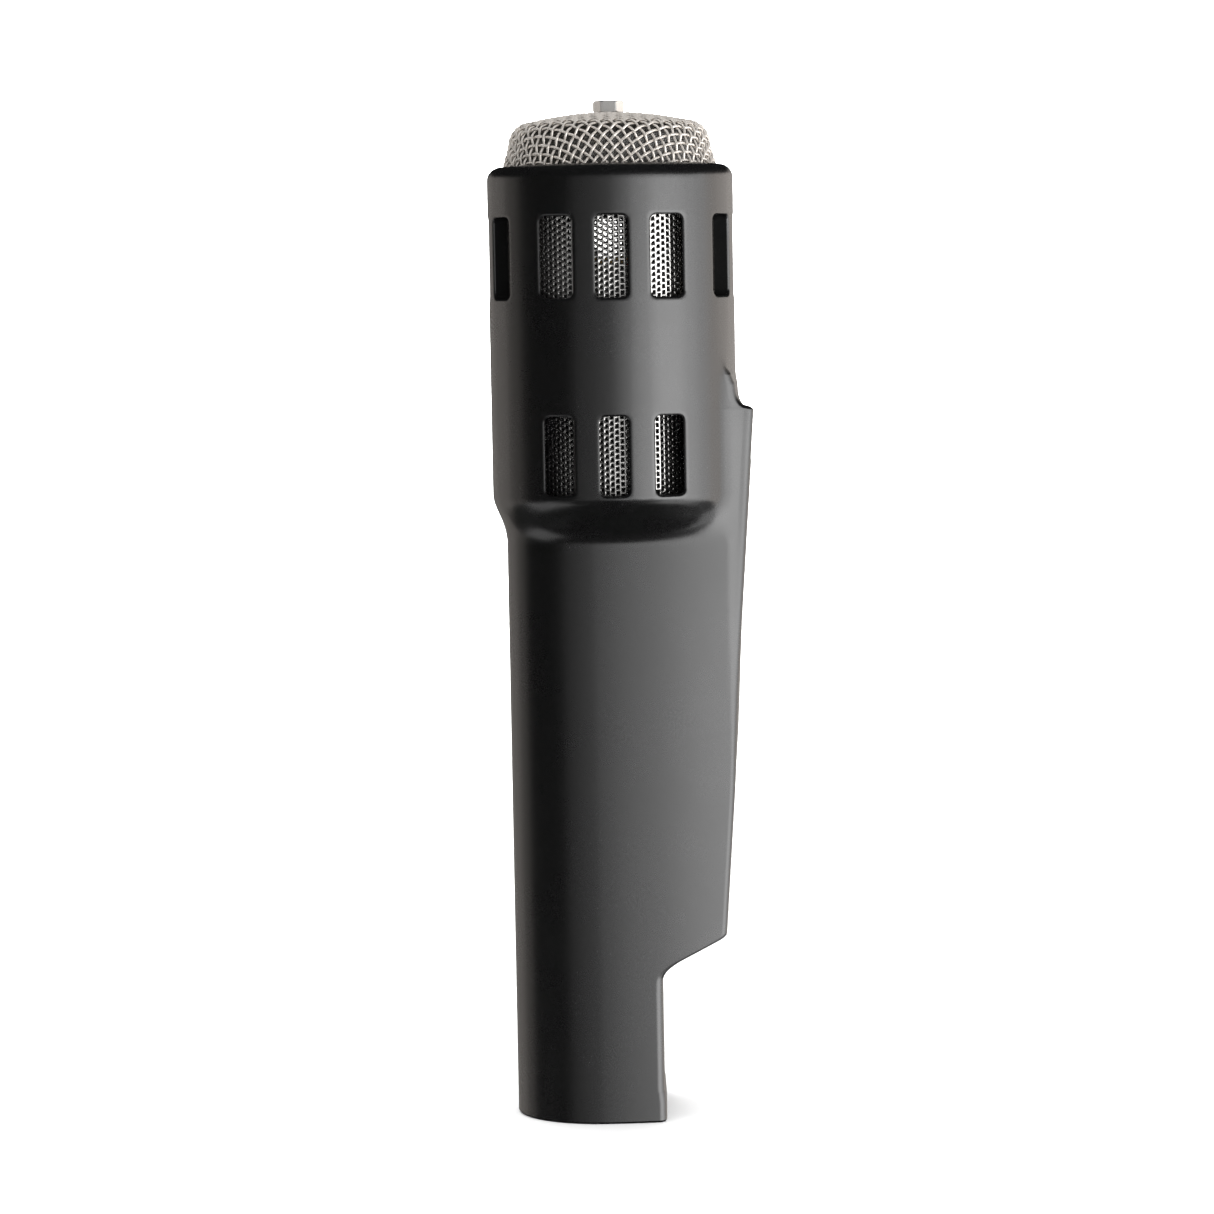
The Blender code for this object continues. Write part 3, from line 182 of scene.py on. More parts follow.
def backLimit(z, inset):
    # the lowest of leaning back, top slope and slanted underside, melted into the tube's back
    leaning = finReach - inset - shape["finTaper"] * (shape["finTop"] - z)
    above = (z - shape["finTop"] + inset) / shape["saddleHeight"]
    saddle = finReach - inset + np.minimum(-above, 0) * 3 - shape["saddleDepth"] * np.sqrt(
        1 - (1 - np.clip(above, 0, 1)) ** 2) + np.where(above < 0, 9, 3 * np.clip(above, 0, 1))
    slope = math.tan(math.radians(shape["undersideSlope"]))
    underside = shape["undersideReach"] - inset + (z - inset - shape["finBottom"]) / slope
    fin = -softMax(-np.minimum(leaning, saddle), -underside, shape["undersideCorner"])
    heel = shape["heelStep"] * smoothStep((shape["heelHeight"] + 0.4 - z) / 0.8) * (inset == 0)
    return softMax(shape["tubeBack"] - inset + heel, fin, shape["undersideBlend"])


def backRounding(z, inset):  # rounding of the back's long edges, from the tube's to the fin's
    share = smoothStep((z - shape["finBottom"] + 12) / 12)
    radius = shape["tubeRounding"] + share * (shape["edgeRounding"] - shape["tubeRounding"])
    return np.maximum(radius - inset, 0.4)


def handleRadius(angle, z, inset):
    # distance from the pole to the rounded cut of flanks and back, found by halving
    limit, rounding = backLimit(z, inset), backRounding(z, inset)
    inside = np.zeros(np.broadcast(angle, z).shape)
    outside = inside + 60.0
    for _ in range(24):
        middle = (inside + outside) / 2
        x = shape["pole"] + middle * np.cos(angle)
        pastBack = x - limit + rounding
        pastFlank = np.abs(middle * np.sin(angle)) - halfThickness(x, inset) + rounding
        field = (np.hypot(np.maximum(pastBack, 0), np.maximum(pastFlank, 0))
                 + np.minimum(np.maximum(pastBack, pastFlank), 0) - rounding)
        inside = np.where(field < 0, middle, inside)
        outside = np.where(field < 0, outside, middle)
    return inside


def headPolar(angle, radius):  # distance from the pole to the head's circle
    pole = shape["pole"]
    return -pole * np.cos(angle) + np.sqrt(radius ** 2 - (pole * np.sin(angle)) ** 2)


def housingRadius(angle, z, inset=0.0):
    # head circle that melts into the handle through the shoulder, joined softly to the fin
    handle = handleRadius(angle, z, inset)
    head = headPolar(angle, headRadius - (shape["wall"] if inset else 0.0))
    share = smoothStep((shape["shoulderTop"] + inset * 0.6 - z) / shape["shoulderHeight"])
    bowl = head + (np.minimum(handle, head) - head) * share
    joined = softMax(bowl, handle, 1.0 if inset else shape["finBlend"])
    return np.where(z > shape["finTop"] + 3 * shape["finBlend"], bowl, joined)


def polarPoints(angle, radius, z):  # angle and distance from the pole, as points
    return np.stack(np.broadcast_arrays(headX + shape["pole"] + radius * np.cos(angle),
                                        radius * np.sin(angle), z), -1)


# the slots' and the cover recess's places, with the rounding at their mouths
slots = {"pitch": 12.7, "corner": 1.5, "mouth": 0.5, "fade": 2.2,
         "upperHalf": 3.8, "upperLow": 192.45, "upperHigh": 211.15,
         "lowerHalf": 3.4, "lowerLow": 147.4, "lowerHigh": 165.6}
recess = {"half": 8.8, "low": 48.7, "high": 155.1, "corner": 2.3, "mouth": 0.15, "depth": 1.8}


# heights from which the housing's grid follows the lower slots, then the upper ones, and where
# its inside starts to match its outside; endAngle is half the head's front or rear part
meshing = {"lowerFrom": 134, "lowerOver": 11, "upperFrom": 174.5, "upperOver": 15,
           "insideFrom": 145.0, "straightFrom": 145.2, "straightOver": 1.9, "endAngle": 37.5}


def slotLines():
    # lines across one side's three slots, from the middle out: close together at every edge
    inner = np.array([0.03, 0.3, 0.7, 1.1, 1.5])
    outer = np.array([0.08, 0.24, 0.5, 0.95])
    half, pitch = slots["upperHalf"], slots["pitch"]
    near, far = pitch - half, pitch + half
    return np.concatenate([
        [0, 1.2], half - inner[::-1], [half], half + outer, [pitch / 2], near - outer[::-1],
        [near], near + inner, [pitch], far - inner[::-1], [far], far + outer])


def columnAngles(z):
    # angle of every column in every row, for one half of the outline from back to nose
    across = slotLines()
    edge = len(across)
    pole = shape["pole"]

    def groupTurns(lines):  # the side slots run along Y, the front and rear ones along X
        turn = np.arcsin(np.concatenate([-lines[:0:-1], lines]) / headRadius)[::-1]
        return math.pi / 2 - turn

    end = np.arcsin(across / headRadius)
    strip = np.linspace(end[-1], math.pi / 2 - end[-1], 7)[1:-1]

    def aroundHead(sideLines):
        middle = groupTurns(sideLines)
        return np.concatenate([end, strip, middle, math.pi - strip[::-1], math.pi - end[::-1]])

    half, low, pitch = slots["upperHalf"], slots["lowerHalf"], slots["pitch"]
    knots = np.array([0, half - 1.5, half, half + 0.9, pitch - half - 0.9, pitch - half,
                      pitch - half + 1.5, pitch + half - 1.5, pitch + half, pitch + half + 0.9])
    shift = np.array([0, 1, 1, 1, -1, -1, -1, 1, 1, 1]) * (low - half)
    lowerLines = np.interp(across, knots, knots + shift)

    def toPole(turn):
        return np.arctan2(headRadius * np.sin(turn), headRadius * np.cos(turn) - pole)

    upper, lower = toPole(aroundHead(across)), toPole(aroundHead(lowerLines))
    count = len(upper)

    dense = np.linspace(0, math.pi, 901)
    radius = housingRadius(dense[None], z[:, None])
    line = np.stack([radius * np.cos(dense), radius * np.sin(dense)], -1)
    run = np.hypot(*np.moveaxis(np.diff(line, axis=1), -1, 0)).cumsum(1)
    run = np.concatenate([np.zeros((len(z), 1)), run], 1)

    angles = np.empty((len(z), count))
    for row, height in enumerate(z):
        rounding = float(backRounding(height, 0.0))
        corner = float(halfThickness(backLimit(height, 0.0), 0.0)) - rounding
        arc = rounding * math.pi / 2
        half = recess["half"]
        back = np.concatenate([
            np.interp(across[across <= pitch / 2], [0, 6.35], [0, 6.6]),
            [7.3, 8.0, 8.5, half - 0.03, half, half + 0.07, half + 0.15, half + 0.4, half + 0.7],
            corner + arc * np.linspace(0, 1, 6),
            corner + arc + np.linspace(0.5, 7.0, edge)])[:edge]
        back = np.maximum.accumulate(back)
        even = np.linspace(back[-1], run[row, -1], count - edge + 1)[1:]
        handle = np.interp(np.concatenate([back, even]), run[row], dense)
        slotted = lower.copy()
        slotted[:edge] = handle[:edge]
        first = edge + len(strip)
        slotted[edge:first] = np.linspace(handle[edge - 1], lower[first], len(strip) + 2)[1:-1]
        top = smoothStep((height - meshing["upperFrom"]) / meshing["upperOver"])
        low = smoothStep((height - meshing["lowerFrom"]) / meshing["lowerOver"])
        angles[row] = upper * top + (1 - top) * (slotted * low + handle * (1 - low))
    return np.concatenate([angles, -angles[:, -2:0:-1]], 1)


def edgeRows(low, high, outer, inner):  # rows just outside and inside both ends
    outer, inner = np.array(outer), np.array(inner)
    return np.concatenate([low - outer, low + inner, high - inner, high + outer])


def mergeRows(exact, extra, gap):  # exact rows stay, extra ones fill in where there is room
    exact = np.unique(np.round(exact, 4))
    room = np.abs(extra[:, None] - exact).min(1) > gap
    return np.sort(np.concatenate([exact, extra[room]]))


def roundCorners(p, q, a, b, corner, mouth, fade):
    # moves grid lines near the rectangle |p| < a, |q| < b onto rectangles with round corners
    s = np.maximum(np.abs(p) - a, np.abs(q) - b)
    s = np.where(np.abs(s) < 0.004, 0, s)
    c = np.where(s <= mouth, corner + s, (corner + mouth) * (fade - s) / (fade - mouth))
    c = np.clip(c, 1e-6, None)
    u, v = np.abs(p) - (a + s - c), np.abs(q) - (b + s - c)
    bent = (u > 1e-9) & (v > 1e-9) & (s < fade) & (s > -corner)
    u, v = np.where(bent, u, 1.0), np.where(bent, v, 1.0)
    turn = np.where(u >= v, v / u, 2 - u / v) * math.pi / 4
    newP = np.sign(p) * (a + s - c + c * np.cos(turn))
    newQ = np.sign(q) * (b + s - c + c * np.sin(turn))
    return np.where(bent, newP, p), np.where(bent, newQ, q), s


def mouthDepth(s, mouth):  # a quarter round from the surface into the hole
    return np.where((s >= 0) & (s < mouth), mouth - np.sqrt(np.clip(
        mouth ** 2 - (mouth - s) ** 2, 0, None)), 0.0)


def slotPlaces():  # (side, offset along it, half width, lowest, highest)
    places = []
    for side in ("left", "right", "front", "rear"):
        for step in (-1, 0, 1):
            places.append((side, step * slots["pitch"], slots["upperHalf"],
                           slots["upperLow"], slots["upperHigh"]))
            if side in ("left", "right"):
                places.append((side, step * slots["pitch"], slots["lowerHalf"],
                               slots["lowerLow"], slots["lowerHigh"]))
    return places


def housingMesh():
    # outside, rim and inside are one closed grid; each slot is a block of cells taken out of
    # both sides, with walls between the two edges
    outside, inside = [0, 0.08, 0.24, 0.5, 0.95, 2.2], [0.03, 0.3, 0.7, 1.1, 1.5]
    exact = np.concatenate([
        edgeRows(slots["upperLow"], slots["upperHigh"], outside, inside),
        edgeRows(slots["lowerLow"], slots["lowerHigh"], outside, inside),
        edgeRows(recess["low"], recess["high"], [0, 0.07, 0.15, 0.5], [0.03, 0.6, 1.2, 1.8, 2.3]),
        [0, shape["endChamfer"], shape["heelHeight"] - 0.06, shape["heelHeight"] + 0.06]])
    rimStart = headTop - shape["rimRounding"]
    extra = np.concatenate([
        np.arange(1.5, 27, 3.0), np.arange(27, 47, 0.55), np.arange(50, 134, 7.0),
        np.arange(134.5, 147.4, 0.62), np.arange(149, 163, 2.0), np.arange(163.6, 174.6, 0.36),
        np.arange(176, 192, 3.0), np.arange(194, 211, 4.0), np.arange(213, rimStart, 3.0)])
    z = mergeRows(exact, extra, 0.2)
    z = z[z < rimStart - 0.2]
    angle = columnAngles(z)
    rows, columns = angle.shape
    height = np.repeat(z[:, None], columns, 1)
    radius = housingRadius(angle, height)
    baseZ = height.copy()
    baseX = shape["pole"] + radius * np.cos(angle)
    baseY = radius * np.sin(angle)

    # each slot's grid lines are bent round its corners and drawn in at its mouth
    pull = np.zeros_like(height)
    removed = np.zeros((rows - 1, columns), bool)
    cellZ = (baseZ[:-1] + baseZ[1:]) / 2
    for side, offset, half, low, high in slotPlaces():
        alongX = side in ("front", "rear")
        facing = {"left": baseY < 0, "right": baseY > 0,
                  "front": baseX < 0, "rear": baseX > 0}[side]
        p = (baseY if alongX else baseX) - offset
        q = baseZ - (low + high) / 2
        b = (high - low) / 2
        newP, newQ, s = roundCorners(p, q, half, b, slots["corner"], slots["mouth"],
                                     slots["fade"])
        near = facing & (s < slots["fade"]) & (s > -1.6)
        across = newP + offset
        depth = np.sqrt(headRadius ** 2 - np.clip(across, -headRadius, headRadius) ** 2)
        if alongX:
            x, y = np.where(side == "front", -depth, depth), across
        else:
            x, y = across, np.where(side == "left", -depth, depth)
        angle = np.where(near, np.arctan2(y, x - shape["pole"]), angle)
        height = np.where(near, newQ + (low + high) / 2, height)
        pull = np.where(near, np.maximum(pull, mouthDepth(s, slots["mouth"])), pull)
        centreP = (p[:-1] + np.roll(p, -1, 1)[:-1] + p[1:] + np.roll(p, -1, 1)[1:]) / 4
        removed |= (facing[:-1] & np.roll(facing, -1, 1)[:-1] & (np.abs(centreP) < half)
                    & (cellZ > low) & (cellZ < high))

    # the recess for the rear cover is pressed in along the back's own normal
    middle, reach = (recess["low"] + recess["high"]) / 2, (recess["high"] - recess["low"]) / 2
    onBack = (np.abs(baseY) < recess["half"] + 0.6) & (baseX > 15)
    newP, newQ, s = roundCorners(baseY, baseZ - middle, recess["half"], reach,
                                 recess["corner"], recess["mouth"], 0.45)
    near = onBack & (s < 0.45) & (np.abs(baseZ - middle) < reach + 0.5)
    height = np.where(near, newQ + middle, height)
    radius = housingRadius(angle, height)
    for _ in range(2):
        turned = np.arctan2(newP, radius * np.cos(angle))
        angle = np.where(near, turned, angle)
        radius = housingRadius(angle, height)
    lean = math.atan(shape["finTaper"])
    sunk = np.where(near, np.where(s < -0.01, recess["depth"], mouthDepth(s, recess["mouth"])), 0)
    outer = polarPoints(angle, radius - pull, height)
    outer += sunk[..., None] * np.array([-math.cos(lean), 0, math.sin(lean)])
    chamfer = np.where(baseZ < 0.01, shape["endChamfer"], 0)
    spot = polarPoints(angle, radius - chamfer, height)
    outer = np.where(baseZ[..., None] < 0.01, spot, outer)

    # rim: a quarter round up to a narrow flat ring, then down the inside
    turn = np.linspace(0, math.pi / 2, 9)
    rimRadius = headRadius - shape["rimRounding"] * (1 - np.cos(turn))
    rimHeight = rimStart + shape["rimRounding"] * np.sin(turn)
    inner = headRadius - shape["wall"]
    rimRadius = np.append(rimRadius, [inner + 0.1, inner])
    rimHeight = np.append(rimHeight, [headTop, headTop - 0.1])
    topTurn = np.arctan2(baseY[-1], baseX[-1])
    rim = np.stack([headX + rimRadius[:, None] * np.cos(topTurn),
                    rimRadius[:, None] * np.sin(topTurn),
                    np.repeat(rimHeight[:, None], columns, 1)], -1)

    # inside: the head's rows match the outside so that slot walls run straight in along
    # their own direction, the handle's rows are few
    matched = z >= meshing["insideFrom"]
    turns = np.arctan2(radius * np.sin(angle), radius * np.cos(angle) + shape["pole"])[matched]
    x, y = headRadius * np.cos(turns), headRadius * np.sin(turns)
    limit = headRadius * math.sin(math.radians(meshing["endAngle"]))
    toSide = np.arctan2(np.sign(y) * np.sqrt(np.clip(inner ** 2 - x ** 2, 0, None)), x)
    toEnd = np.arctan2(y, np.sign(x) * np.sqrt(np.clip(inner ** 2 - y ** 2, 0, None)))
    isSide, isEnd = np.abs(x) <= limit, np.abs(y) <= limit
    quarter = np.abs(np.abs(turns) - math.pi / 2)
    edgeOut = math.asin(limit / headRadius)
    edgeIn = math.asin(limit / inner)
    share = (quarter - edgeOut) / (math.pi / 2 - 2 * edgeOut)
    between = edgeIn + share * (math.pi / 2 - 2 * edgeIn)
    between = np.sign(turns) * (math.pi / 2 + np.sign(np.abs(turns) - math.pi / 2) * between)
    innerTurn = np.where(isSide, toSide, np.where(isEnd, toEnd, between))
    straight = np.stack([headX + inner * np.cos(innerTurn), inner * np.sin(innerTurn),
                         height[matched]], -1)
    direct = polarPoints(angle[matched],
                         housingRadius(angle[matched], height[matched], shape["skin"]),
                         height[matched])
    blend = smoothStep((baseZ[matched] - meshing["straightFrom"])
                       / meshing["straightOver"])[..., None]
    headInside = direct + (straight - direct) * blend
    lowZ = np.concatenate([[0, 12, 25], np.arange(29, 46, 1.6), np.arange(50, 133, 9.0),
                           np.arange(133.5, 144.6, 1.3)])
    lowAngle = columnAngles(lowZ)
    lowZ = np.repeat(lowZ[:, None], columns, 1)
    handleInside = polarPoints(lowAngle, housingRadius(lowAngle, lowZ, shape["skin"]), lowZ)

    layers = [outer, rim, headInside[::-1], handleInside[::-1]]
    points = np.concatenate(layers)
    total = len(points)
    faces = gridFaces(total, columns, wrapRows=True, wrapColumns=True)
    keep = np.ones((total, columns), bool)
    keep[:rows - 1] = ~removed
    firstMatched = rows - matched.sum()
    insideTop = rows + len(rim)
    headRows = np.arange(firstMatched, rows)
    mirrored = insideTop + (rows - 1 - headRows)      # inside row that matches each outside row
    cut = removed[firstMatched:rows - 1]
    keep[mirrored[1:]] = ~cut
    blocks = [faces[keep]]
    # walls between the outside and inside edges of every removed block
    mate = np.full(rows, -1)
    mate[headRows] = mirrored
    padded = np.zeros((rows + 1, columns), bool)
    padded[1:rows] = removed

    def wall(row, column, nextRow, nextColumn):
        blocks.append(np.stack([row * columns + column, nextRow * columns + nextColumn,
                                mate[nextRow] * columns + nextColumn,
                                mate[row] * columns + column], -1))

    leftOf = np.roll(removed, 1, 1)
    i, j = np.nonzero(padded[1:] & ~padded[:-1])    # lower edges
    wall(i, j, i, (j + 1) % columns)
    i, j = np.nonzero(~padded[1:] & padded[:-1])    # upper edges
    wall(i, (j + 1) % columns, i, j)
    i, j = np.nonzero(removed & ~leftOf)            # edges at a block's first column
    wall(i + 1, j, i, j)
    i, j = np.nonzero(~removed & leftOf)            # and at its last one
    wall(i, j, i + 1, j)
    points, faces = usedOnly(points.reshape(-1, 3), blocks)
    return newMesh("housing_shell", points, faces, shape["sharpAngle"]), len(faces[0])


def cutThrough(piece, cutters):  # takes small windows out of the finished shell
    for cutter in cutters:
        change = piece.modifiers.new("window", "BOOLEAN")
        change.object, change.solver = cutter, "MANIFOLD"
    bpy.context.view_layer.update()
    seen = piece.evaluated_get(bpy.context.evaluated_depsgraph_get())
    mesh = bpy.data.meshes.new_from_object(seen)
    mesh.set_sharp_from_angle(angle=math.radians(shape["sharpAngle"]))  # the cuts' edges too
    piece.modifiers.clear()
    piece.data = mesh
    for cutter in cutters:
        bpy.data.objects.remove(cutter)


def prismMesh(name, outline, depths, matrix):
    # a flat outline carried through the given depths along its own Z, then laid by matrix
    outline = np.asarray(outline, float)
    points = np.concatenate([np.column_stack([outline, np.full(len(outline), depth)])
                             for depth in depths])
    count = len(outline)
    caps = np.arange(count)[None]
    return newMesh(name, laidOut(points, matrix), [
        gridFaces(len(depths), count, wrapColumns=True),
        caps[:, ::-1], caps + (len(depths) - 1) * count])


def roundedOutline(width, height, corner, steps=6):
    # rectangle whose four corners are quarter circles
    turn = np.linspace(0, math.pi / 2, steps)
    arc = np.column_stack([np.cos(turn), np.sin(turn)]) * corner
    sides = []
    for quarter in range(4):
        c, s = round(math.cos(quarter * math.pi / 2)), round(math.sin(quarter * math.pi / 2))
        spin = np.array([[c, -s], [s, c]])
        size = np.array([width, height] if quarter % 2 == 0 else [height, width]) / 2
        sides.append((arc + size - corner) @ spin.T)
    return np.concatenate(sides)


def addNode(tree, kind, inputs=None, **values):
    # a node with its settings; each input is a value or another node's output
    made = tree.nodes.new(kind)
    for key, value in values.items():
        setattr(made, key, value)
    for key, value in (inputs or {}).items():
        if isinstance(value, bpy.types.NodeSocket):
            tree.links.new(value, made.inputs[key])
        else:
            made.inputs[key].default_value = value
    return made


def newGroup(name, inputs, outputs):  # an empty group with its sockets
    tree = bpy.data.node_groups.new(name, "ShaderNodeTree")
    for label, kind, value in inputs:
        socket = tree.interface.new_socket(label, in_out="INPUT", socket_type=kind)
        if value is not None:
            socket.default_value = value
    for label, kind in outputs:
        tree.interface.new_socket(label, in_out="OUTPUT", socket_type=kind)
    return tree, addNode(tree, "NodeGroupInput").outputs, addNode(tree, "NodeGroupOutput").inputs


def math2(tree, operation, first, second=0.0, clamp=False):
    return addNode(tree, "ShaderNodeMath", {0: first, 1: second}, operation=operation,
                   use_clamp=clamp).outputs[0]


floatKind, colourKind, vectorKind = "NodeSocketFloat", "NodeSocketColor", "NodeSocketVector"


def buildEdgeWearAndHighlight():
    # lighter, smoother paint where the surface bends outwards, broken up by noise: edge wear and a
    # painted highlight along the edges
    tree, given, out = newGroup("edgeWearAndHighlight", [
        ("Base", colourKind, (0, 0, 0, 1)), ("WornAndLit", colourKind, (1, 1, 1, 1)),
        ("Start", floatKind, 0.52), ("Width", floatKind, 0.06), ("Amount", floatKind, 0.5),
        ("Scale", floatKind, 900.0)], [("Color", colourKind), ("Mask", floatKind)])
    pointed = addNode(tree, "ShaderNodeNewGeometry").outputs["Pointiness"]
    spot = addNode(tree, "ShaderNodeTexCoord").outputs["Object"]
    noise = addNode(tree, "ShaderNodeTexNoise", {"Vector": spot, "Scale": given["Scale"],
                                                 "Detail": 3.0}).outputs["Fac"]
    rise = math2(tree, "DIVIDE", math2(tree, "SUBTRACT", pointed, given["Start"]),
                 given["Width"], clamp=True)
    broken = math2(tree, "MULTIPLY", rise, math2(tree, "ADD", noise, 0.25, clamp=True))
    mask = math2(tree, "MULTIPLY", broken, given["Amount"], clamp=True)
    mixed = addNode(tree, "ShaderNodeMix", {"Factor": mask, "A": given["Base"],
                                            "B": given["WornAndLit"]}, data_type="RGBA")
    tree.links.new(mask, out["Mask"])
    tree.links.new(mixed.outputs["Result"], out["Color"])
    return tree


def buildSurfaceGrain():
    # fine blasted grain for bump, with slow patches of handling in the roughness
    tree, given, out = newGroup("surfaceGrain", [
        ("Grain Scale", floatKind, 9000.0), ("Patch Scale", floatKind, 40.0),
        ("Low", floatKind, 0.3), ("High", floatKind, 0.4), ("Stretch", vectorKind, (1, 1, 1))],
        [("Roughness", floatKind), ("Height", floatKind), ("Patch", floatKind)])
    spot = addNode(tree, "ShaderNodeTexCoord").outputs["Object"]
    stretched = addNode(tree, "ShaderNodeVectorMath", {0: spot, 1: given["Stretch"]},
                        operation="MULTIPLY").outputs[0]
    fine = addNode(tree, "ShaderNodeTexNoise", {"Vector": stretched, "Detail": 2.0,
                                                "Scale": given["Grain Scale"]}).outputs["Fac"]
    patch = addNode(tree, "ShaderNodeTexNoise", {"Vector": spot, "Detail": 4.0,
                                                 "Scale": given["Patch Scale"],
                                                 "Roughness": 0.6}).outputs["Fac"]
    mix = math2(tree, "ADD", math2(tree, "MULTIPLY", patch, 0.7),
                math2(tree, "MULTIPLY", fine, 0.3))
    rough = addNode(tree, "ShaderNodeMapRange", {"Value": mix, "From Min": 0.35,
                                                 "From Max": 0.65, "To Min": given["Low"],
                                                 "To Max": given["High"]}).outputs[0]
    tree.links.new(rough, out["Roughness"])
    tree.links.new(fine, out["Height"])
    tree.links.new(patch, out["Patch"])
    return tree


def buildWeave():
    # threads over and under each other: two crossed waves whose product swaps the upper one
    tree, given, out = newGroup("plainWeave", [
        ("Vector", vectorKind, None), ("Threads", floatKind, 1000.0)],
        [("Height", floatKind), ("Thread", floatKind)])
    scaled = addNode(tree, "ShaderNodeVectorMath", {0: given["Vector"], "Scale": given["Threads"]},
                     operation="SCALE").outputs[0]
    parts = addNode(tree, "ShaderNodeSeparateXYZ", {0: scaled}).outputs
    waves = [math2(tree, "SINE", math2(tree, "MULTIPLY", parts[k], math.pi)) for k in (0, 1)]
    bars = [math2(tree, "ABSOLUTE", wave) for wave in waves]
    crossing = math2(tree, "MULTIPLY", waves[0], waves[1])
    over = math2(tree, "MULTIPLY_ADD", crossing, 0.5)
    tree.nodes[-1].inputs[2].default_value = 0.5
    height = math2(tree, "MAXIMUM", math2(tree, "MULTIPLY", bars[0], over),
                   math2(tree, "MULTIPLY", bars[1], math2(tree, "SUBTRACT", 1.0, over)))
    tree.links.new(height, out["Height"])
    tree.links.new(math2(tree, "MAXIMUM", bars[0], bars[1]), out["Thread"])
    return tree


edgeWearAndHighlight, surfaceGrain, plainWeave = buildEdgeWearAndHighlight(), buildSurfaceGrain(), buildWeave()


def useGroup(tree, group, inputs):
    return addNode(tree, "ShaderNodeGroup", inputs, node_tree=group).outputs


def finishMaterial(name, look):
    # one recipe for the solid finishes: grain, patches, and edge wear with a painted edge
    # highlight from the shared groups
    made = bpy.data.materials.new(name)
    made.use_nodes = True
    tree = made.node_tree
    shader = tree.nodes["Principled BSDF"]
    # convex edges get a lighter colour: edge wear and a painted highlight
    wearAndHighlight = useGroup(tree, edgeWearAndHighlight, {
        "Base": (*look["colour"], 1), "WornAndLit": (*look.get("worn", look["colour"]), 1),
        "Start": look.get("wearStart", 0.53), "Width": look.get("wearWidth", 0.06),
        "Amount": look.get("wearAndHighlight", 0.5), "Scale": look.get("wearScale", 900.0)})
    grain = useGroup(tree, surfaceGrain, {
        "Grain Scale": look.get("grain", 6000.0), "Patch Scale": look.get("patch", 45.0),
        "Low": look["rough"][0], "High": look["rough"][1],
        "Stretch": look.get("stretch", (1, 1, 1))})
    tone = wearAndHighlight["Color"]
    if "tint" in look:
        tone = addNode(tree, "ShaderNodeMix", {
            "Factor": grain["Patch"], "A": tone, "B": (*look["tint"], 1)},
            data_type="RGBA").outputs["Result"]
    rough = math2(tree, "SUBTRACT", grain["Roughness"],
                  math2(tree, "MULTIPLY", wearAndHighlight["Mask"], look.get("polish", 0.1)), clamp=True)
    bump = addNode(tree, "ShaderNodeBump", {"Height": grain["Height"], "Strength": 1.0,
                                            "Distance": look.get("bump", 0.01) * mm})
    tree.links.new(tone, shader.inputs["Base Color"])
    tree.links.new(rough, shader.inputs["Roughness"])
    tree.links.new(bump.outputs[0], shader.inputs["Normal"])
    shader.inputs["Metallic"].default_value = look.get("metal", 0.0)
    for key, value in look.get("sockets", {}).items():
        shader.inputs[key].default_value = value
    made.diffuse_color = (*look["colour"], 1)
    return made


def extraBump(material, height, distance):  # a second relief over the grain
    tree = material.node_tree
    shader = tree.nodes["Principled BSDF"]
    below = shader.inputs["Normal"].links[0].from_socket
    relief = addNode(tree, "ShaderNodeBump", {"Height": height, "Distance": distance * mm,
                                              "Normal": below})
    tree.links.new(relief.outputs[0], shader.inputs["Normal"])


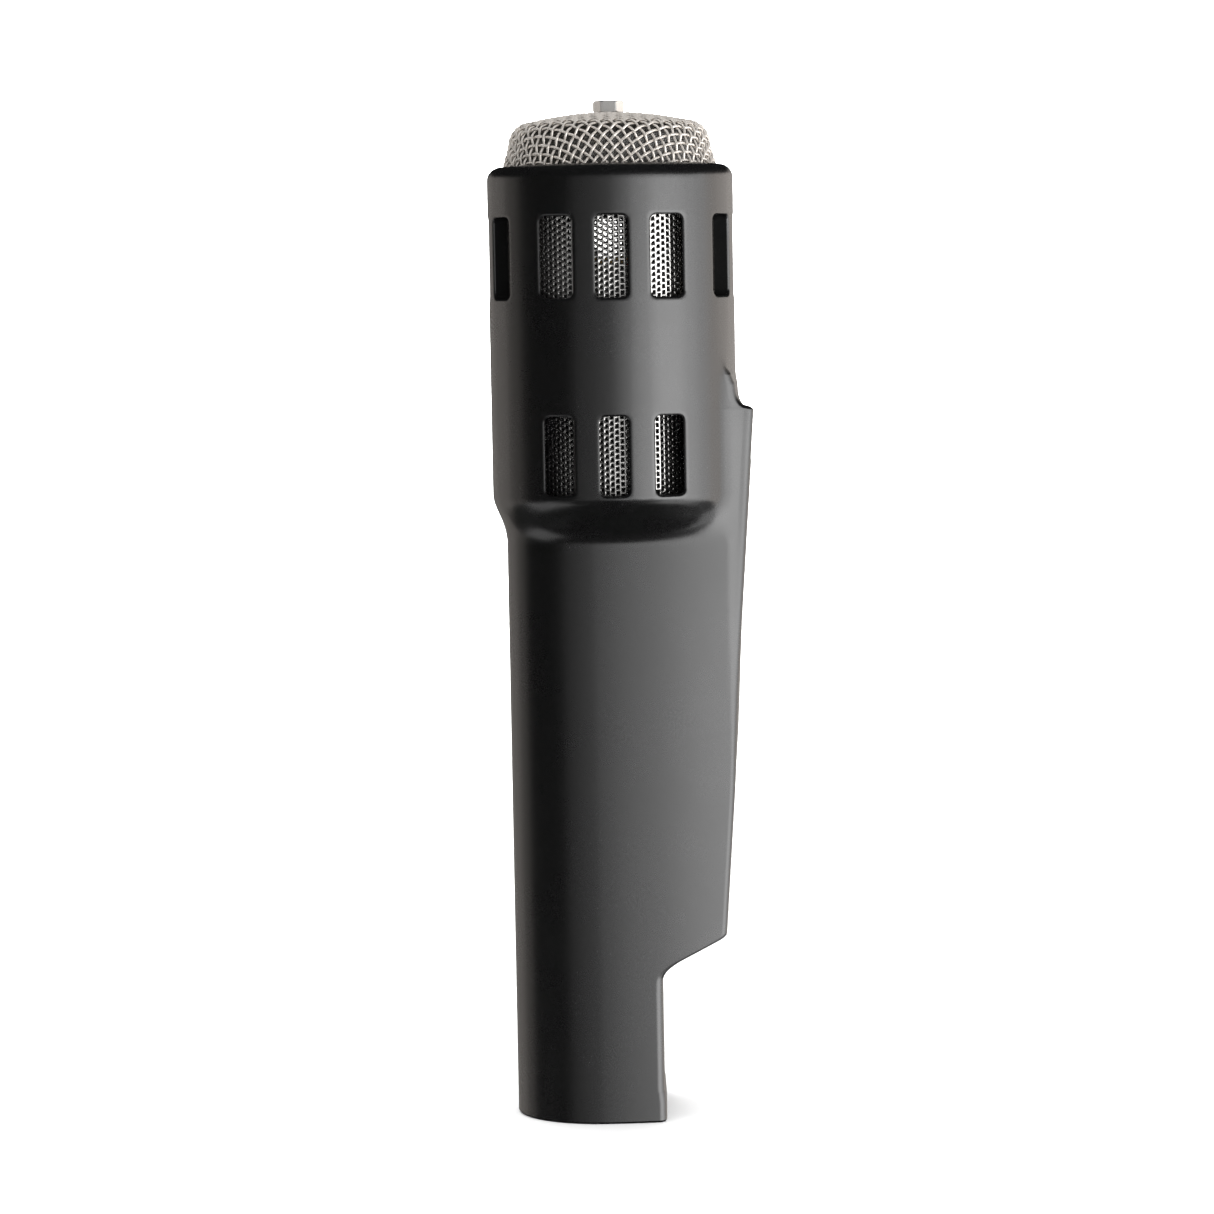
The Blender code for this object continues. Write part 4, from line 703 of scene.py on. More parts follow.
# colours and metal shares, roughness from and to, grain per metre, bump in millimetres
looks = {
    "blackSatin": {"colour": (0.0032, 0.0032, 0.0034), "worn": (0.02, 0.02, 0.021),
                   "rough": (0.25, 0.31), "wearAndHighlight": 0.5, "grain": 7000.0, "bump": 0.006,
                   "sockets": {"Specular IOR Level": 1.0, "IOR": 1.6}},
    # slot walls: the housing's black with little gloss, a painted shade inside the slots
    "shadedSlotWall": {"colour": (0.003, 0.003, 0.003), "worn": (0.01, 0.01, 0.01),
                 "rough": (0.45, 0.6), "wearAndHighlight": 0.2, "grain": 3000.0, "bump": 0.01,
                 "sockets": {"Specular IOR Level": 0.12}},
    "blackAlloy": {"colour": (0.013, 0.013, 0.014), "worn": (0.08, 0.08, 0.08),
                   "rough": (0.38, 0.5), "grain": 5000.0, "bump": 0.01},
    "wireSteel": {"colour": (0.92, 0.865, 0.80), "worn": (0.95, 0.92, 0.88), "metal": 0.58,
                  "rough": (0.2, 0.32), "grain": 5000.0, "bump": 0.004,
                  "tint": (0.78, 0.72, 0.66)},
    "brightSteel": {"colour": (0.86, 0.845, 0.82), "worn": (0.92, 0.91, 0.9), "metal": 0.85,
                    "rough": (0.16, 0.26), "grain": 4000.0, "stretch": (1, 1, 0.1),
                    "bump": 0.003},
    "linerSteel": {"colour": (0.90, 0.885, 0.86), "worn": (0.94, 0.93, 0.91), "metal": 0.97,
                   "rough": (0.17, 0.27), "grain": 3000.0, "stretch": (1, 1, 0.15),
                   "bump": 0.003},
    # near black inside the liners: painted shade on their inner faces and hole walls
    "shadedLinerInside": {"colour": (0.012, 0.012, 0.012), "worn": (0.04, 0.04, 0.04),
                    "rough": (0.6, 0.75), "grain": 3000.0, "bump": 0.01,
                    "sockets": {"Specular IOR Level": 0.2}},
    "darkSteel": {"colour": (0.07, 0.07, 0.072), "worn": (0.3, 0.3, 0.3), "metal": 1.0,
                  "rough": (0.25, 0.4), "grain": 4000.0, "bump": 0.005},
    "brass": {"colour": (0.62, 0.44, 0.17), "worn": (0.85, 0.68, 0.35), "metal": 1.0,
              "rough": (0.2, 0.38), "tint": (0.48, 0.31, 0.10), "bump": 0.004},
    "magnetNickel": {"colour": (0.55, 0.53, 0.49), "worn": (0.7, 0.69, 0.66), "metal": 1.0,
                     "rough": (0.12, 0.26), "tint": (0.45, 0.43, 0.40), "bump": 0.003},
    "ribbonFoil": {"colour": (0.86, 0.87, 0.88), "metal": 1.0, "rough": (0.12, 0.24),
                   "bump": 0.004},
    "machinedAlloy": {"colour": (0.56, 0.57, 0.58), "worn": (0.8, 0.8, 0.8), "metal": 1.0,
                      "rough": (0.26, 0.4), "grain": 3500.0, "bump": 0.005},
    "rubber": {"colour": (0.018, 0.018, 0.018), "worn": (0.05, 0.05, 0.05),
               "rough": (0.7, 0.85), "grain": 2500.0, "bump": 0.03},
    "greyFelt": {"colour": (0.2, 0.2, 0.205), "tint": (0.32, 0.32, 0.33), "rough": (0.9, 1.0),
                 "grain": 1800.0, "bump": 0.12},
    "laminatedSteel": {"colour": (0.17, 0.17, 0.18), "worn": (0.4, 0.4, 0.4), "metal": 0.9,
                       "rough": (0.35, 0.5), "bump": 0.008},
    "enamelledCopper": {"colour": (0.46, 0.15, 0.05), "worn": (0.7, 0.3, 0.12), "metal": 0.85,
                        "rough": (0.25, 0.38), "bump": 0.004},
    "circuitBoard": {"colour": (0.012, 0.11, 0.045), "tint": (0.018, 0.16, 0.06),
                     "rough": (0.3, 0.42), "bump": 0.01},
    "blackPlastic": {"colour": (0.016, 0.016, 0.017), "worn": (0.05, 0.05, 0.05),
                     "rough": (0.38, 0.5), "grain": 2600.0, "bump": 0.015},
    "capacitorFilm": {"colour": (0.35, 0.045, 0.025), "tint": (0.5, 0.07, 0.035),
                      "rough": (0.22, 0.34), "bump": 0.006},
    "capacitorCan": {"colour": (0.68, 0.69, 0.71), "worn": (0.85, 0.85, 0.86), "metal": 0.95,
                     "rough": (0.2, 0.32), "stretch": (1, 0.1, 1), "bump": 0.004},
    "goldPlate": {"colour": (0.83, 0.58, 0.2), "worn": (0.9, 0.72, 0.38), "metal": 1.0,
                  "rough": (0.14, 0.28), "tint": (0.74, 0.49, 0.16), "bump": 0.002},
    "redWire": {"colour": (0.38, 0.02, 0.014), "tint": (0.45, 0.035, 0.02),
                "rough": (0.35, 0.48), "bump": 0.006},
    "whiteWire": {"colour": (0.68, 0.67, 0.63), "tint": (0.6, 0.58, 0.53),
                  "rough": (0.35, 0.48), "bump": 0.006},
}
materials = {name: finishMaterial(name, look) for name, look in looks.items()}


def objectCoordinate(tree):
    return addNode(tree, "ShaderNodeTexCoord").outputs["Object"]


def stripes(material, axis, pitch, distance):
    # ridges or seams every pitch millimetres along one axis
    tree = material.node_tree
    wave = addNode(tree, "ShaderNodeTexWave", {
        "Vector": objectCoordinate(tree), "Scale": fullTurn / 20 / (pitch * mm),
        "Distortion": 0.4, "Detail": 1.0, "Detail Scale": 0.6},
        bands_direction=axis, wave_profile="SIN")
    extraBump(material, wave.outputs["Fac"], distance)


stripes(materials["laminatedSteel"], "Y", 0.5, 0.05)
stripes(materials["enamelledCopper"], "Z", 0.22, 0.08)
stripes(materials["ribbonFoil"], "Y", 0.9, 0.25)
felt = materials["greyFelt"].node_tree
fibres = addNode(felt, "ShaderNodeTexVoronoi", {"Vector": objectCoordinate(felt),
                                                "Scale": 2600.0}).outputs["Distance"]
extraBump(materials["greyFelt"], fibres, 0.15)
board = materials["circuitBoard"].node_tree
tracks = addNode(board, "ShaderNodeTexBrick", {
    "Vector": objectCoordinate(board), "Scale": 260.0, "Mortar Size": 0.03,
    "Color1": (1, 1, 1, 1), "Color2": (0.7, 0.7, 0.7, 1), "Mortar": (0, 0, 0, 1)})
extraBump(materials["circuitBoard"], tracks.outputs["Fac"], 0.03)
print("materials ready")

shell, firstWall = housingMesh()
housing = newPiece("housing_shell", shell, materials["blackSatin"],
                   standsFor=["housing"])
# the slot walls take the darker, less glossy copy of the finish: painted shade inside the slots
shell.materials.append(materials["shadedSlotWall"])
shell.polygons.foreach_set("material_index",
                           (np.arange(len(shell.polygons)) >= firstWall).astype(int))
# window of the low-cut switch in the fin's underside, and hole of the connector's grub screw
switch = {"along": 9.5, "width": 2.0, "length": 2.2, "travel": 2.4, "gap": 0.3, "corner": 0.5,
          "cut": (-2.0, 5.0)}
grub = {"depth": 3.2, "hole": 1.8, "cut": (0.0, 6.0), "head": 1.5, "shank": 1.48, "sink": 0.3,
        "socket": 0.7, "deep": 0.8}
slope = math.radians(shape["undersideSlope"])
switchPlace = np.array([headX + shape["undersideReach"] - switch["along"] * math.cos(slope), 0,
                        shape["finBottom"] - switch["along"] * math.sin(slope)])
# Z of this frame looks into the fin, Y across it
switchFrame = Matrix.Translation(switchPlace * mm) @ Matrix.Rotation(-slope, 4, "Y")
windowOutline = roundedOutline(switch["width"] + 2 * switch["gap"],
                               switch["length"] + switch["travel"] + 2 * switch["gap"],
                               switch["corner"])
window = bpy.data.objects.new("window", prismMesh("window", windowOutline, switch["cut"],
                                                  switchFrame))
grubLow, grubHigh = nodeBox("connector_grub_screw")
grubZ = (grubLow[2] + grubHigh[2]) / 2
grubFrame = (Matrix.Translation(np.array([grubHigh[0] - grub["depth"], 0, grubZ]) * mm)
             @ Matrix.Rotation(math.pi / 2, 4, "Y"))
circle = evenTurns(40)
grubHole = bpy.data.objects.new("grubHole", prismMesh(
    "grubHole", np.column_stack([np.cos(circle), np.sin(circle)]) * grub["hole"], grub["cut"],
    grubFrame))
for cutter in (window, grubHole):
    scene.collection.objects.link(cutter)
cutThrough(housing, [window, grubHole])
print("housing ready", len(housing.data.polygons), "faces")

# pitches round and up the liners' walls, radius of a hole, thickness of the wall
perforation = {"column": 1.21, "row": 1.40, "hole": 0.30, "wall": 0.45}


def linerMesh(name, outline, low, high):
    # the wall unrolled into a brick pattern of cells; each cell's border is joined by eight
    # quads to a round hole at its middle, then the strip is rolled onto the outline
    corners = outline(np.linspace(0, fullTurn, 2881))
    length = np.hypot(*np.diff(corners, axis=0).T).cumsum()
    length = np.concatenate([[0], length])
    columns = 2 * round(length[-1] / perforation["column"] / 2)
    half = perforation["row"] / 2
    levels = 2 * int((high - low - 1.6) / perforation["row"])
    base = (low + high - levels * half) / 2
    step = length[-1] / columns

    def roll(along, z):
        spot = (along * step) % length[-1]
        return np.stack([np.interp(spot, length, corners[:, 0]),
                         np.interp(spot, length, corners[:, 1]), z], -1)

    # lattice of border points at half columns and half pitches, with a plain rim at each end
    heights = np.concatenate([[low], base + np.arange(levels + 1) * half, [high]])
    along, up = np.meshgrid(np.arange(2 * columns) / 2, heights, indexing="ij")
    lattice = roll(along, up)
    rimmed = levels + 3

    def at(column2, level):
        return (column2 % (2 * columns)) * rimmed + level + 1

    c, r = np.meshgrid(np.arange(columns), np.arange(levels // 2), indexing="ij")
    m = 2 * r + c % 2
    fits = (m + 2 <= levels).ravel()
    c, m = c.ravel()[fits], m.ravel()[fits]
    border = np.stack([at(2 * c + 2, m + 1), at(2 * c + 2, m + 2), at(2 * c + 1, m + 2),
                       at(2 * c, m + 2), at(2 * c, m + 1), at(2 * c, m), at(2 * c + 1, m),
                       at(2 * c + 2, m)], -1)
    turn = evenTurns(8)
    holeAlong = c[:, None] + 0.5 + perforation["hole"] / step * np.cos(turn)
    holeUp = base + (m[:, None] + 1) * half + perforation["hole"] * np.sin(turn)
    holes = roll(holeAlong, holeUp)
    first = lattice.shape[0] * rimmed
    hole = first + np.arange(len(c) * 8).reshape(-1, 8)
    on = (np.arange(8) + 1) % 8
    skin = np.stack([border, border[:, on], hole[:, on], hole], -1).reshape(-1, 4)
    # half cells at the ends of every second column, and the plain rims
    odd = np.arange(1, columns, 2)
    bottom = np.stack([at(2 * odd, 0), at(2 * odd + 1, 0), at(2 * odd + 2, 0),
                       at(2 * odd + 2, 1), at(2 * odd + 1, 1), at(2 * odd, 1)], -1)
    top = np.stack([at(2 * odd, levels - 1), at(2 * odd + 1, levels - 1),
                    at(2 * odd + 2, levels - 1), at(2 * odd + 2, levels),
                    at(2 * odd + 1, levels), at(2 * odd, levels)], -1)
    halves = np.arange(2 * columns)
    rims = np.concatenate([np.stack([at(halves, level), at(halves + 1, level),
                                     at(halves + 1, level + 1), at(halves, level + 1)], -1)
                           for level in (-1, levels)])
    points = np.concatenate([lattice.reshape(-1, 3), holes.reshape(-1, 3)])
    return newMesh(name, *usedOnly(points, [skin, bottom, top, rims]), 50)


def superEllipse(reach, power):  # a circle at power 2, squarer above it
    def outline(turn):
        radius = reach / (np.abs(np.cos(turn)) ** power
                          + np.abs(np.sin(turn)) ** power) ** (1 / power)
        return np.column_stack([headX + radius * np.cos(turn), radius * np.sin(turn)])
    return outline


for node, power in (("upper_liner", 2.5), ("lower_liner", 2.0)):
    low, high = nodeBox(node)
    reach = (high[1] - low[1]) / 2
    liner = newPiece(node + "_perforated",
                     linerMesh(node, superEllipse(reach, power), low[2], high[2]),
                     materials["linerSteel"], standsFor=[node])
    liner.data.materials.append(materials["shadedLinerInside"])
    # inner faces and hole walls take the near-black copy: painted shade inside the head
    wall = liner.modifiers.new("wall", "SOLIDIFY")
    wall.thickness, wall.offset = perforation["wall"] * mm, -1
    wall.material_offset, wall.material_offset_rim = 1, 1
print("liners ready")

# woven dome: wires' pitch, radius and lift, then the shape of its profile
grille = {"pitch": 2.05, "wire": 0.29, "lift": 0.27, "rise": 12.6, "depth": 0.56, "wall": 0.9,
          "crown": 2.1, "corner": 5.4, "lean": 1.4, "skirt": 4.4}
domeLow, domeHigh = nodeBox("grille_dome")
domeReach = (domeHigh[1] - domeLow[1]) / 2


def domeProfile(inset):
    # from the middle out: low crown, quarter round, leaning side and upright skirt
    reach, corner = domeReach - inset, grille["corner"] - inset
    top = grille["rise"] - inset - grille["crown"]
    cornerX = reach - grille["lean"] - corner
    share = np.linspace(0, 1, 24, endpoint=False)[:, None]
    crown = np.hstack([cornerX * share, top + grille["crown"] * (1 - share ** 2)])
    turn = np.linspace(math.pi / 2, 0, 24)[:, None]
    bend = np.hstack([cornerX + corner * np.cos(turn), top - corner + corner * np.sin(turn)])
    side = np.array([[reach, 0.0], [reach, -grille["skirt"]]])
    return np.concatenate([crown, bend, side])


def onDome(u, v, profile):
    # sheet coordinates to dome: the distance from the middle is the run along the profile
    run = np.concatenate([[0], np.hypot(*np.diff(profile, axis=0).T).cumsum()])
    far = np.hypot(u, v)
    turn = np.arctan2(v, u) + math.pi / 4
    radius, height = (np.interp(far, run, profile[:, k]) for k in (0, 1))
    ahead = [np.interp(far + 0.3, run, profile[:, k]) - np.interp(far - 0.3, run, profile[:, k])
             for k in (0, 1)]
    size = np.hypot(*ahead) + 1e-9
    outX, outZ = -ahead[1] / size, ahead[0] / size
    spot = np.stack([headX + radius * np.cos(turn), radius * np.sin(turn), headTop + height], -1)
    normal = np.stack([outX * np.cos(turn), outX * np.sin(turn), outZ], -1)
    return spot, normal


def unit(vectors):  # each vector over its own length
    return vectors / (np.linalg.norm(vectors, axis=-1, keepdims=True) + 1e-12)


def wovenMesh(name, profile, pitch, wire, lift, perPitch=6, sides=6):
    # every wire is a line of the flat sheet laid on the dome, lifted over and under its
    # neighbours by a cosine, and swept by a circle
    reach = np.hypot(*np.diff(profile, axis=0).T).sum() - 0.02
    count = int(reach / pitch - 0.3)
    offsets = (np.arange(-count, count + 1)) * pitch
    samples = int(2 * reach / pitch * perPitch)
    along = np.linspace(-1, 1, samples)[None] * np.sqrt(reach ** 2 - offsets ** 2)[:, None]
    still = np.repeat(offsets[:, None], samples, 1)
    lines, ups = [], []
    for swap in (False, True):
        u, v = (still, along) if swap else (along, still)
        spot, normal = onDome(u, v, profile)
        wave = np.cos(math.pi * along / pitch + math.pi * still / pitch)
        lines.append(spot + normal * (wave * lift * (1 if swap else -1))[..., None])
        ups.append(normal)
    line, up = np.concatenate(lines), np.concatenate(ups)
    ahead = unit(np.gradient(line, axis=1))
    across = unit(np.cross(ahead, up))
    up = np.cross(across, ahead)
    turn = evenTurns(sides)
    ring = (np.cos(turn)[:, None] * across[:, :, None] + np.sin(turn)[:, None] * up[:, :, None])
    points = line[:, :, None] + wire * ring
    faces = gridFaces(samples, sides, wrapColumns=True).reshape(-1, 4)
    wires = len(line)
    starts = np.arange(wires)[:, None, None] * samples * sides
    caps = np.arange(sides)[None] + np.arange(wires)[:, None] * samples * sides
    return newMesh(name, points, [(faces[None] + starts).reshape(-1, 4)[:, ::-1],
                                  caps, (caps + (samples - 1) * sides)[:, ::-1]], 60)


dome = newPiece("woven_dome", wovenMesh("woven_dome", domeProfile(grille["depth"]),
                                        grille["pitch"], grille["wire"], grille["lift"]),
                materials["wireSteel"], standsFor=["grille_dome"])
print("dome ready", len(dome.data.polygons), "faces")


stud = {"radius": 1.4, "hole": 1.8, "head": 2.8, "thick": 1.8, "rounding": 0.3, "thread": 8.0}


def screenMesh(name, inset, wall, steps=96):
    # two nested dome profiles turned as one closed ring, open only for the stud
    outer, inner, hole = domeProfile(inset), domeProfile(inset + wall), stud["hole"]
    outer = np.concatenate([[[hole, outer[0, 1]]], outer[outer[:, 0] > hole]])
    inner = np.concatenate([[[hole, inner[0, 1]]], inner[inner[:, 0] > hole]])
    profile = np.concatenate([inner, outer[::-1]])
    points = turnedPoints(profile, (headX, 0, headTop), steps)
    return newMesh(name, points, [gridFaces(len(profile), steps, True, True)], 50)


def sheetCoordinates(mesh, profile):
    # UV of the flat sheet before it was pressed, in millimetres over a hundred
    spots = np.empty(len(mesh.vertices) * 3)
    mesh.vertices.foreach_get("co", spots)
    spots = spots.reshape(-1, 3) / mm - [headX, 0, headTop]
    run = np.concatenate([[0], np.hypot(*np.diff(profile, axis=0).T).cumsum()])
    radius = np.hypot(spots[:, 0], spots[:, 1])
    far = np.where(spots[:, 2] > profile[-2, 1], np.interp(radius, profile[:-1, 0], run[:-1]),
                   run[-2] - spots[:, 2])
    turn = np.arctan2(spots[:, 1], spots[:, 0]) - math.pi / 4
    flat = np.column_stack([far * np.cos(turn), far * np.sin(turn)]) / 100
    corner = np.empty(len(mesh.loops), int)
    mesh.loops.foreach_get("vertex_index", corner)
    layer = mesh.uv_layers.new(name="sheet")
    layer.data.foreach_set("uv", flat[corner].ravel())


screenMaterial = finishMaterial("fineScreen", {
    "colour": (0.34, 0.335, 0.33), "worn": (0.5, 0.5, 0.49), "metal": 1.0,
    "rough": (0.35, 0.5), "tint": (0.25, 0.25, 0.245), "bump": 0.004})
screenTree = screenMaterial.node_tree
sheetSpot = addNode(screenTree, "ShaderNodeUVMap", uv_map="sheet").outputs[0]
fineWeave = useGroup(screenTree, plainWeave, {"Vector": sheetSpot, "Threads": 100 / 0.5})
extraBump(screenMaterial, fineWeave["Height"], 0.12)
screenShader = screenTree.nodes["Principled BSDF"]
threadColour = screenShader.inputs["Base Color"].links[0].from_socket
holeShade = addNode(screenTree, "ShaderNodeMapRange", {"Value": fineWeave["Thread"],
                                                       "From Min": 0.3, "From Max": 0.75,
                                                       "To Min": 0.12, "To Max": 1.0}).outputs[0]
shaded = addNode(screenTree, "ShaderNodeMix", {"Factor": 1.0, "A": threadColour,
                                               "B": holeShade}, data_type="RGBA",
                 blend_type="MULTIPLY").outputs["Result"]
screenTree.links.new(shaded, screenShader.inputs["Base Color"])
screenInset = grille["wall"] + 0.35
innerScreen = newPiece("fine_screen", screenMesh("fine_screen", screenInset, 0.4),
                       screenMaterial, standsFor=["grille_screen"])
sheetCoordinates(innerScreen.data, domeProfile(screenInset))

nutLow, nutHigh = nodeBox("grille_nut")
studLow, studHigh = nodeBox("centre_stud")
nut = {"flats": 6.35, "bore": 1.5, "chamfer": 0.35, "seat": 0.3}


def hexShare(turns):
    # distance to a hexagon's side over its inner radius, with slightly rounded corners
    fold = np.abs((turns + math.pi / 6) % (math.pi / 3) - math.pi / 6)
    return np.minimum(1 / np.cos(fold), 1.145)


def nutMesh():
    # hexagon cut by a cone at top and bottom: each row's radius is the smaller of the two
    steps = 120
    turns = evenTurns(steps) + math.pi / 6
    half, height = nut["flats"] / 2, nutHigh[2] - nutLow[2]
    up = np.concatenate([[0], np.linspace(0.0, 0.5, 7), np.linspace(0.5, height - 0.5, 3)[1:-1],
                         np.linspace(height - 0.5, height, 7), [height]])
    edge = np.minimum(up, height - up)
    cone = half + 0.02 + edge * 1.5
    side = np.minimum(half * hexShare(turns)[None], cone[:, None])
    bore = np.full((4, steps), nut["bore"])
    bore[[0, 3]] += nut["chamfer"]
    radius = np.concatenate([side[1:-1], bore[::-1]])
    level = np.concatenate([up[1:-1], [height, height - nut["chamfer"], nut["chamfer"], 0]])
    spin = turns + math.pi / 6
    points = np.stack([headX + radius * np.cos(spin), radius * np.sin(spin),
                       np.repeat(nutLow[2] + level[:, None], steps, 1)], -1)
    points[..., 2] -= nut["seat"] * (level[:, None] < 0.5)  # its washer face sits in the wires
    return newMesh("hex_nut", points, [gridFaces(len(radius), steps, True, True)], 22)


newPiece("hex_nut", nutMesh(), materials["brightSteel"], standsFor=["grille_nut"])


def threadedMesh(name, radius, low, high, threadLow, pitch=0.5, depth=0.14, steps=40):
    # a rod whose radius follows a helix: the thread's phase is height over pitch minus turn
    z = np.concatenate([[low, low], np.linspace(low, threadLow, 4)[1:],
                        np.arange(threadLow, high - 0.35, pitch / 6),
                        np.linspace(high - 0.35, high, 5), [high]])
    turns = evenTurns(steps)
    phase = (z[:, None] / pitch - turns / fullTurn) % 1
    groove = depth * np.abs(phase * 2 - 1) * (z[:, None] > threadLow)
    tip = np.clip((high - z) / 0.35, 0, 1) ** 0.5
    r = (radius - groove) * (0.72 + 0.28 * tip[:, None])
    r[0], r[-1] = 0, 0
    points = np.stack([headX + r * np.cos(turns), r * np.sin(turns),
                       np.repeat(z[:, None], steps, 1)], -1)
    return newMesh(name, points, [gridFaces(len(z), steps, wrapColumns=True)], 50, merge=True)


newPiece("threaded_stud", threadedMesh(
    "threaded_stud", stud["radius"], studLow[2] + stud["thick"], studHigh[2],
    headTop + stud["thread"]), materials["brightSteel"], standsFor=["centre_stud"])
newPiece("stud_head", turnedMesh("stud_head", [
    (0, 0, 0), (stud["head"], 0, stud["rounding"]),
    (stud["head"], stud["thick"], stud["rounding"]), (0, stud["thick"], 0)],
    (headX, 0, studLow[2])), materials["brightSteel"])
print("grille ready")

# rear cover; inset is from its edges to its screws, head the radius of a countersink
cover = {"width": 17.0, "low": 49.0, "high": 154.8, "corner": 2.0, "thick": 1.7, "proud": 0.2,
         "inset": 3.6, "head": 2.05, "edge": 0.3}
coverScrew = {"head": 1.95, "shank": 1.0, "sink": 1.0, "length": 4.6, "below": 0.05}
lean = math.atan(shape["finTaper"])


def backFrame(z, across=0.0, depth=0.0):
    # X and Y lie in the fin's back (X down it), Z points out of it
    x = headX + finReach - shape["finTaper"] * (shape["finTop"] - z)
    spot = np.array([x, across, z]) - depth * np.array([math.cos(lean), 0, -math.sin(lean)])
    return Matrix.Translation(spot * mm) @ Matrix.Rotation(math.pi / 2 + lean, 4, "Y")


def coverMesh():
    # a flat grid; its lines bend round the corners and round each countersink, the edge
    # rolls over by a quarter circle and each countersink is a cone pressed into the face
    half, reach = cover["width"] / 2, (cover["high"] - cover["low"]) / 2
    inset, head, edge = cover["inset"], cover["head"], cover["edge"]
    sinks = [(side * (half - inset), end * (reach - inset)) for side in (-1, 1) for end in (-1, 1)]
    around = np.array([-head - 0.5, -head - 0.04, -head, -head + 0.25, -head + 0.5, -head + 0.8,
                       -1.0, -0.6, 0])
    around = np.concatenate([around, -around[-2::-1]])
    rolled = edge * (1 - np.cos(np.linspace(0, math.pi / 2, 5)))

    def lines(limit):
        near = limit - inset + around
        far = np.concatenate([limit - rolled, [limit - 0.6]])
        filler = np.arange(0, limit - inset - head - 0.6, 2.4)
        one = mergeRows(np.concatenate([near[near < limit - 0.62], far]), filler, 0.3)
        return np.unique(np.concatenate([-one, one]))

    q, p = np.meshgrid(lines(reach), lines(half), indexing="ij")
    newP, newQ, s = roundCorners(p, q, half, reach, cover["corner"], 0.0, 5.0)
    for x, y in sinks:
        a, b, t = roundCorners(p - x, q - y, head, head, head, 0.04, 0.5)
        near = t < 0.5
        newP, newQ = np.where(near, a + x, newP), np.where(near, b + y, newQ)
        s = np.where(near, -5, s)
    drop = np.clip(edge + s, 0, edge)
    face = -(edge - np.sqrt(np.clip(edge ** 2 - drop ** 2, 0, None)))
    for x, y in sinks:
        far = np.hypot(newP - x, newQ - y)
        cone = np.minimum(face, np.maximum(far, coverScrew["shank"]) - head)
        face = np.where(far < head + 0.01, cone, face)
    rows, columns = p.shape
    front = np.stack([newP, newQ, face], -1)
    back = np.stack([newP, newQ, np.full_like(face, -cover["thick"])], -1)
    points = np.concatenate([front.reshape(-1, 3), back.reshape(-1, 3)])
    faces = gridFaces(rows, columns).reshape(-1, 4)
    border = np.concatenate([np.arange(columns), np.arange(1, rows) * columns + columns - 1,
                             (rows - 1) * columns + np.arange(columns - 2, -1, -1),
                             np.arange(rows - 2, 0, -1) * columns])
    on = np.roll(border, -1)
    rim = np.stack([on, border, border + rows * columns, on + rows * columns], -1)
    matrix = (backFrame((cover["low"] + cover["high"]) / 2, 0, -cover["proud"])
              @ Matrix.Rotation(math.pi / 2, 4, "Z"))
    return newMesh("rear_cover_plate", laidOut(points, matrix),
                   [faces, (faces + rows * columns)[:, ::-1], rim])


newPiece("rear_cover_plate", coverMesh(), materials["blackSatin"], standsFor=["rear_cover"])


def socketScrewMesh(name, matrix, head, shank, sink, length, socket=0.78, deep=1.0, steps=48):
    # turned head and shank; the socket's radius follows a hexagon
    profile = np.array([(0, -deep), (socket, -deep), (socket, -0.06), (socket + 0.08, 0),
                        (head - 0.08, 0), (head, -0.08), (shank, -sink), (shank, -length + 0.3),
                        (shank - 0.3, -length), (0, -length)])[::-1]
    turns = evenTurns(steps)
    radius = np.repeat(profile[:, :1], steps, 1)
    isSocket = (profile[:, 1] > -deep - 0.01) & (profile[:, 0] <= socket + 0.001)
    radius[isSocket] *= hexShare(turns)
    points = np.stack([radius * np.cos(turns), radius * np.sin(turns),
                       np.repeat(profile[:, 1:], steps, 1)], -1).reshape(-1, 3)
    return newMesh(name, laidOut(points, matrix),
                   [gridFaces(len(profile), steps, wrapColumns=True)], 30, merge=True)


index = 0
for z in (cover["high"] - cover["inset"], cover["low"] + cover["inset"]):
    for side in (-1, 1):
        index += 1
        across = side * (cover["width"] / 2 - cover["inset"])
        newPiece(f"cover_screw_{index}", socketScrewMesh(
            f"cover_screw_{index}", backFrame(z, across, coverScrew["below"] - cover["proud"]),
            coverScrew["head"], coverScrew["shank"], coverScrew["sink"], coverScrew["length"]),
            materials["darkSteel"], standsFor=[f"rear_cover_screw_{index}"])
grubPlace = Matrix.Translation(np.array([grubHigh[0], 0, grubZ]) * mm) @ Matrix.Rotation(
    math.pi / 2, 4, "Y")
newPiece("grub_screw", socketScrewMesh(
    "grub_screw", grubPlace, grub["head"], grub["shank"], grub["sink"],
    grubHigh[0] - grubLow[0], grub["socket"], grub["deep"]),
    materials["darkSteel"], standsFor=["connector_grub_screw"])
print("rear cover ready")

# connector end: bore with its lip and key groove, and the pins' radius and their collars'
socket = {"radius": 8.2, "lip": 0.5, "groove": 0.35, "grooveAngle": 0.09, "clearance": 0.3,
          "shrink": 0.4, "pin": 1.2, "pinCollar": 1.45}
blockLow, blockHigh = nodeBox("connector_block")


def blockMesh():
    # outline of the tube's inside lofted upwards, with the socket bored down its middle
    steps = 144
    turns = evenTurns(steps)
    inset = shape["skin"] + socket["clearance"]
    low, high = blockLow[2], blockHigh[2]
    bore, less = socket["radius"], socket["shrink"]
    rows = []
    for z, shrink in ((high, less), (high - less, 0.0), (low + less, 0.0), (low, less)):
        radius = housingRadius(turns, np.array(z), inset) - shrink
        rows.append(polarPoints(turns, radius, z))
    for r, z in ((bore + socket["lip"], low), (bore, low + socket["lip"]),
                 (bore, low + 6), (bore, high)):
        groove = socket["groove"] * np.exp(-((turns - math.pi) / socket["grooveAngle"]) ** 2)
        r = r + groove * (r == bore)
        rows.append(np.stack([tubeX + r * np.cos(turns), r * np.sin(turns),
                              np.full(steps, z)], -1))
    return newMesh("connector_collar", np.array(rows)[::-1],
                   [gridFaces(len(rows), steps, True, True)], 30)


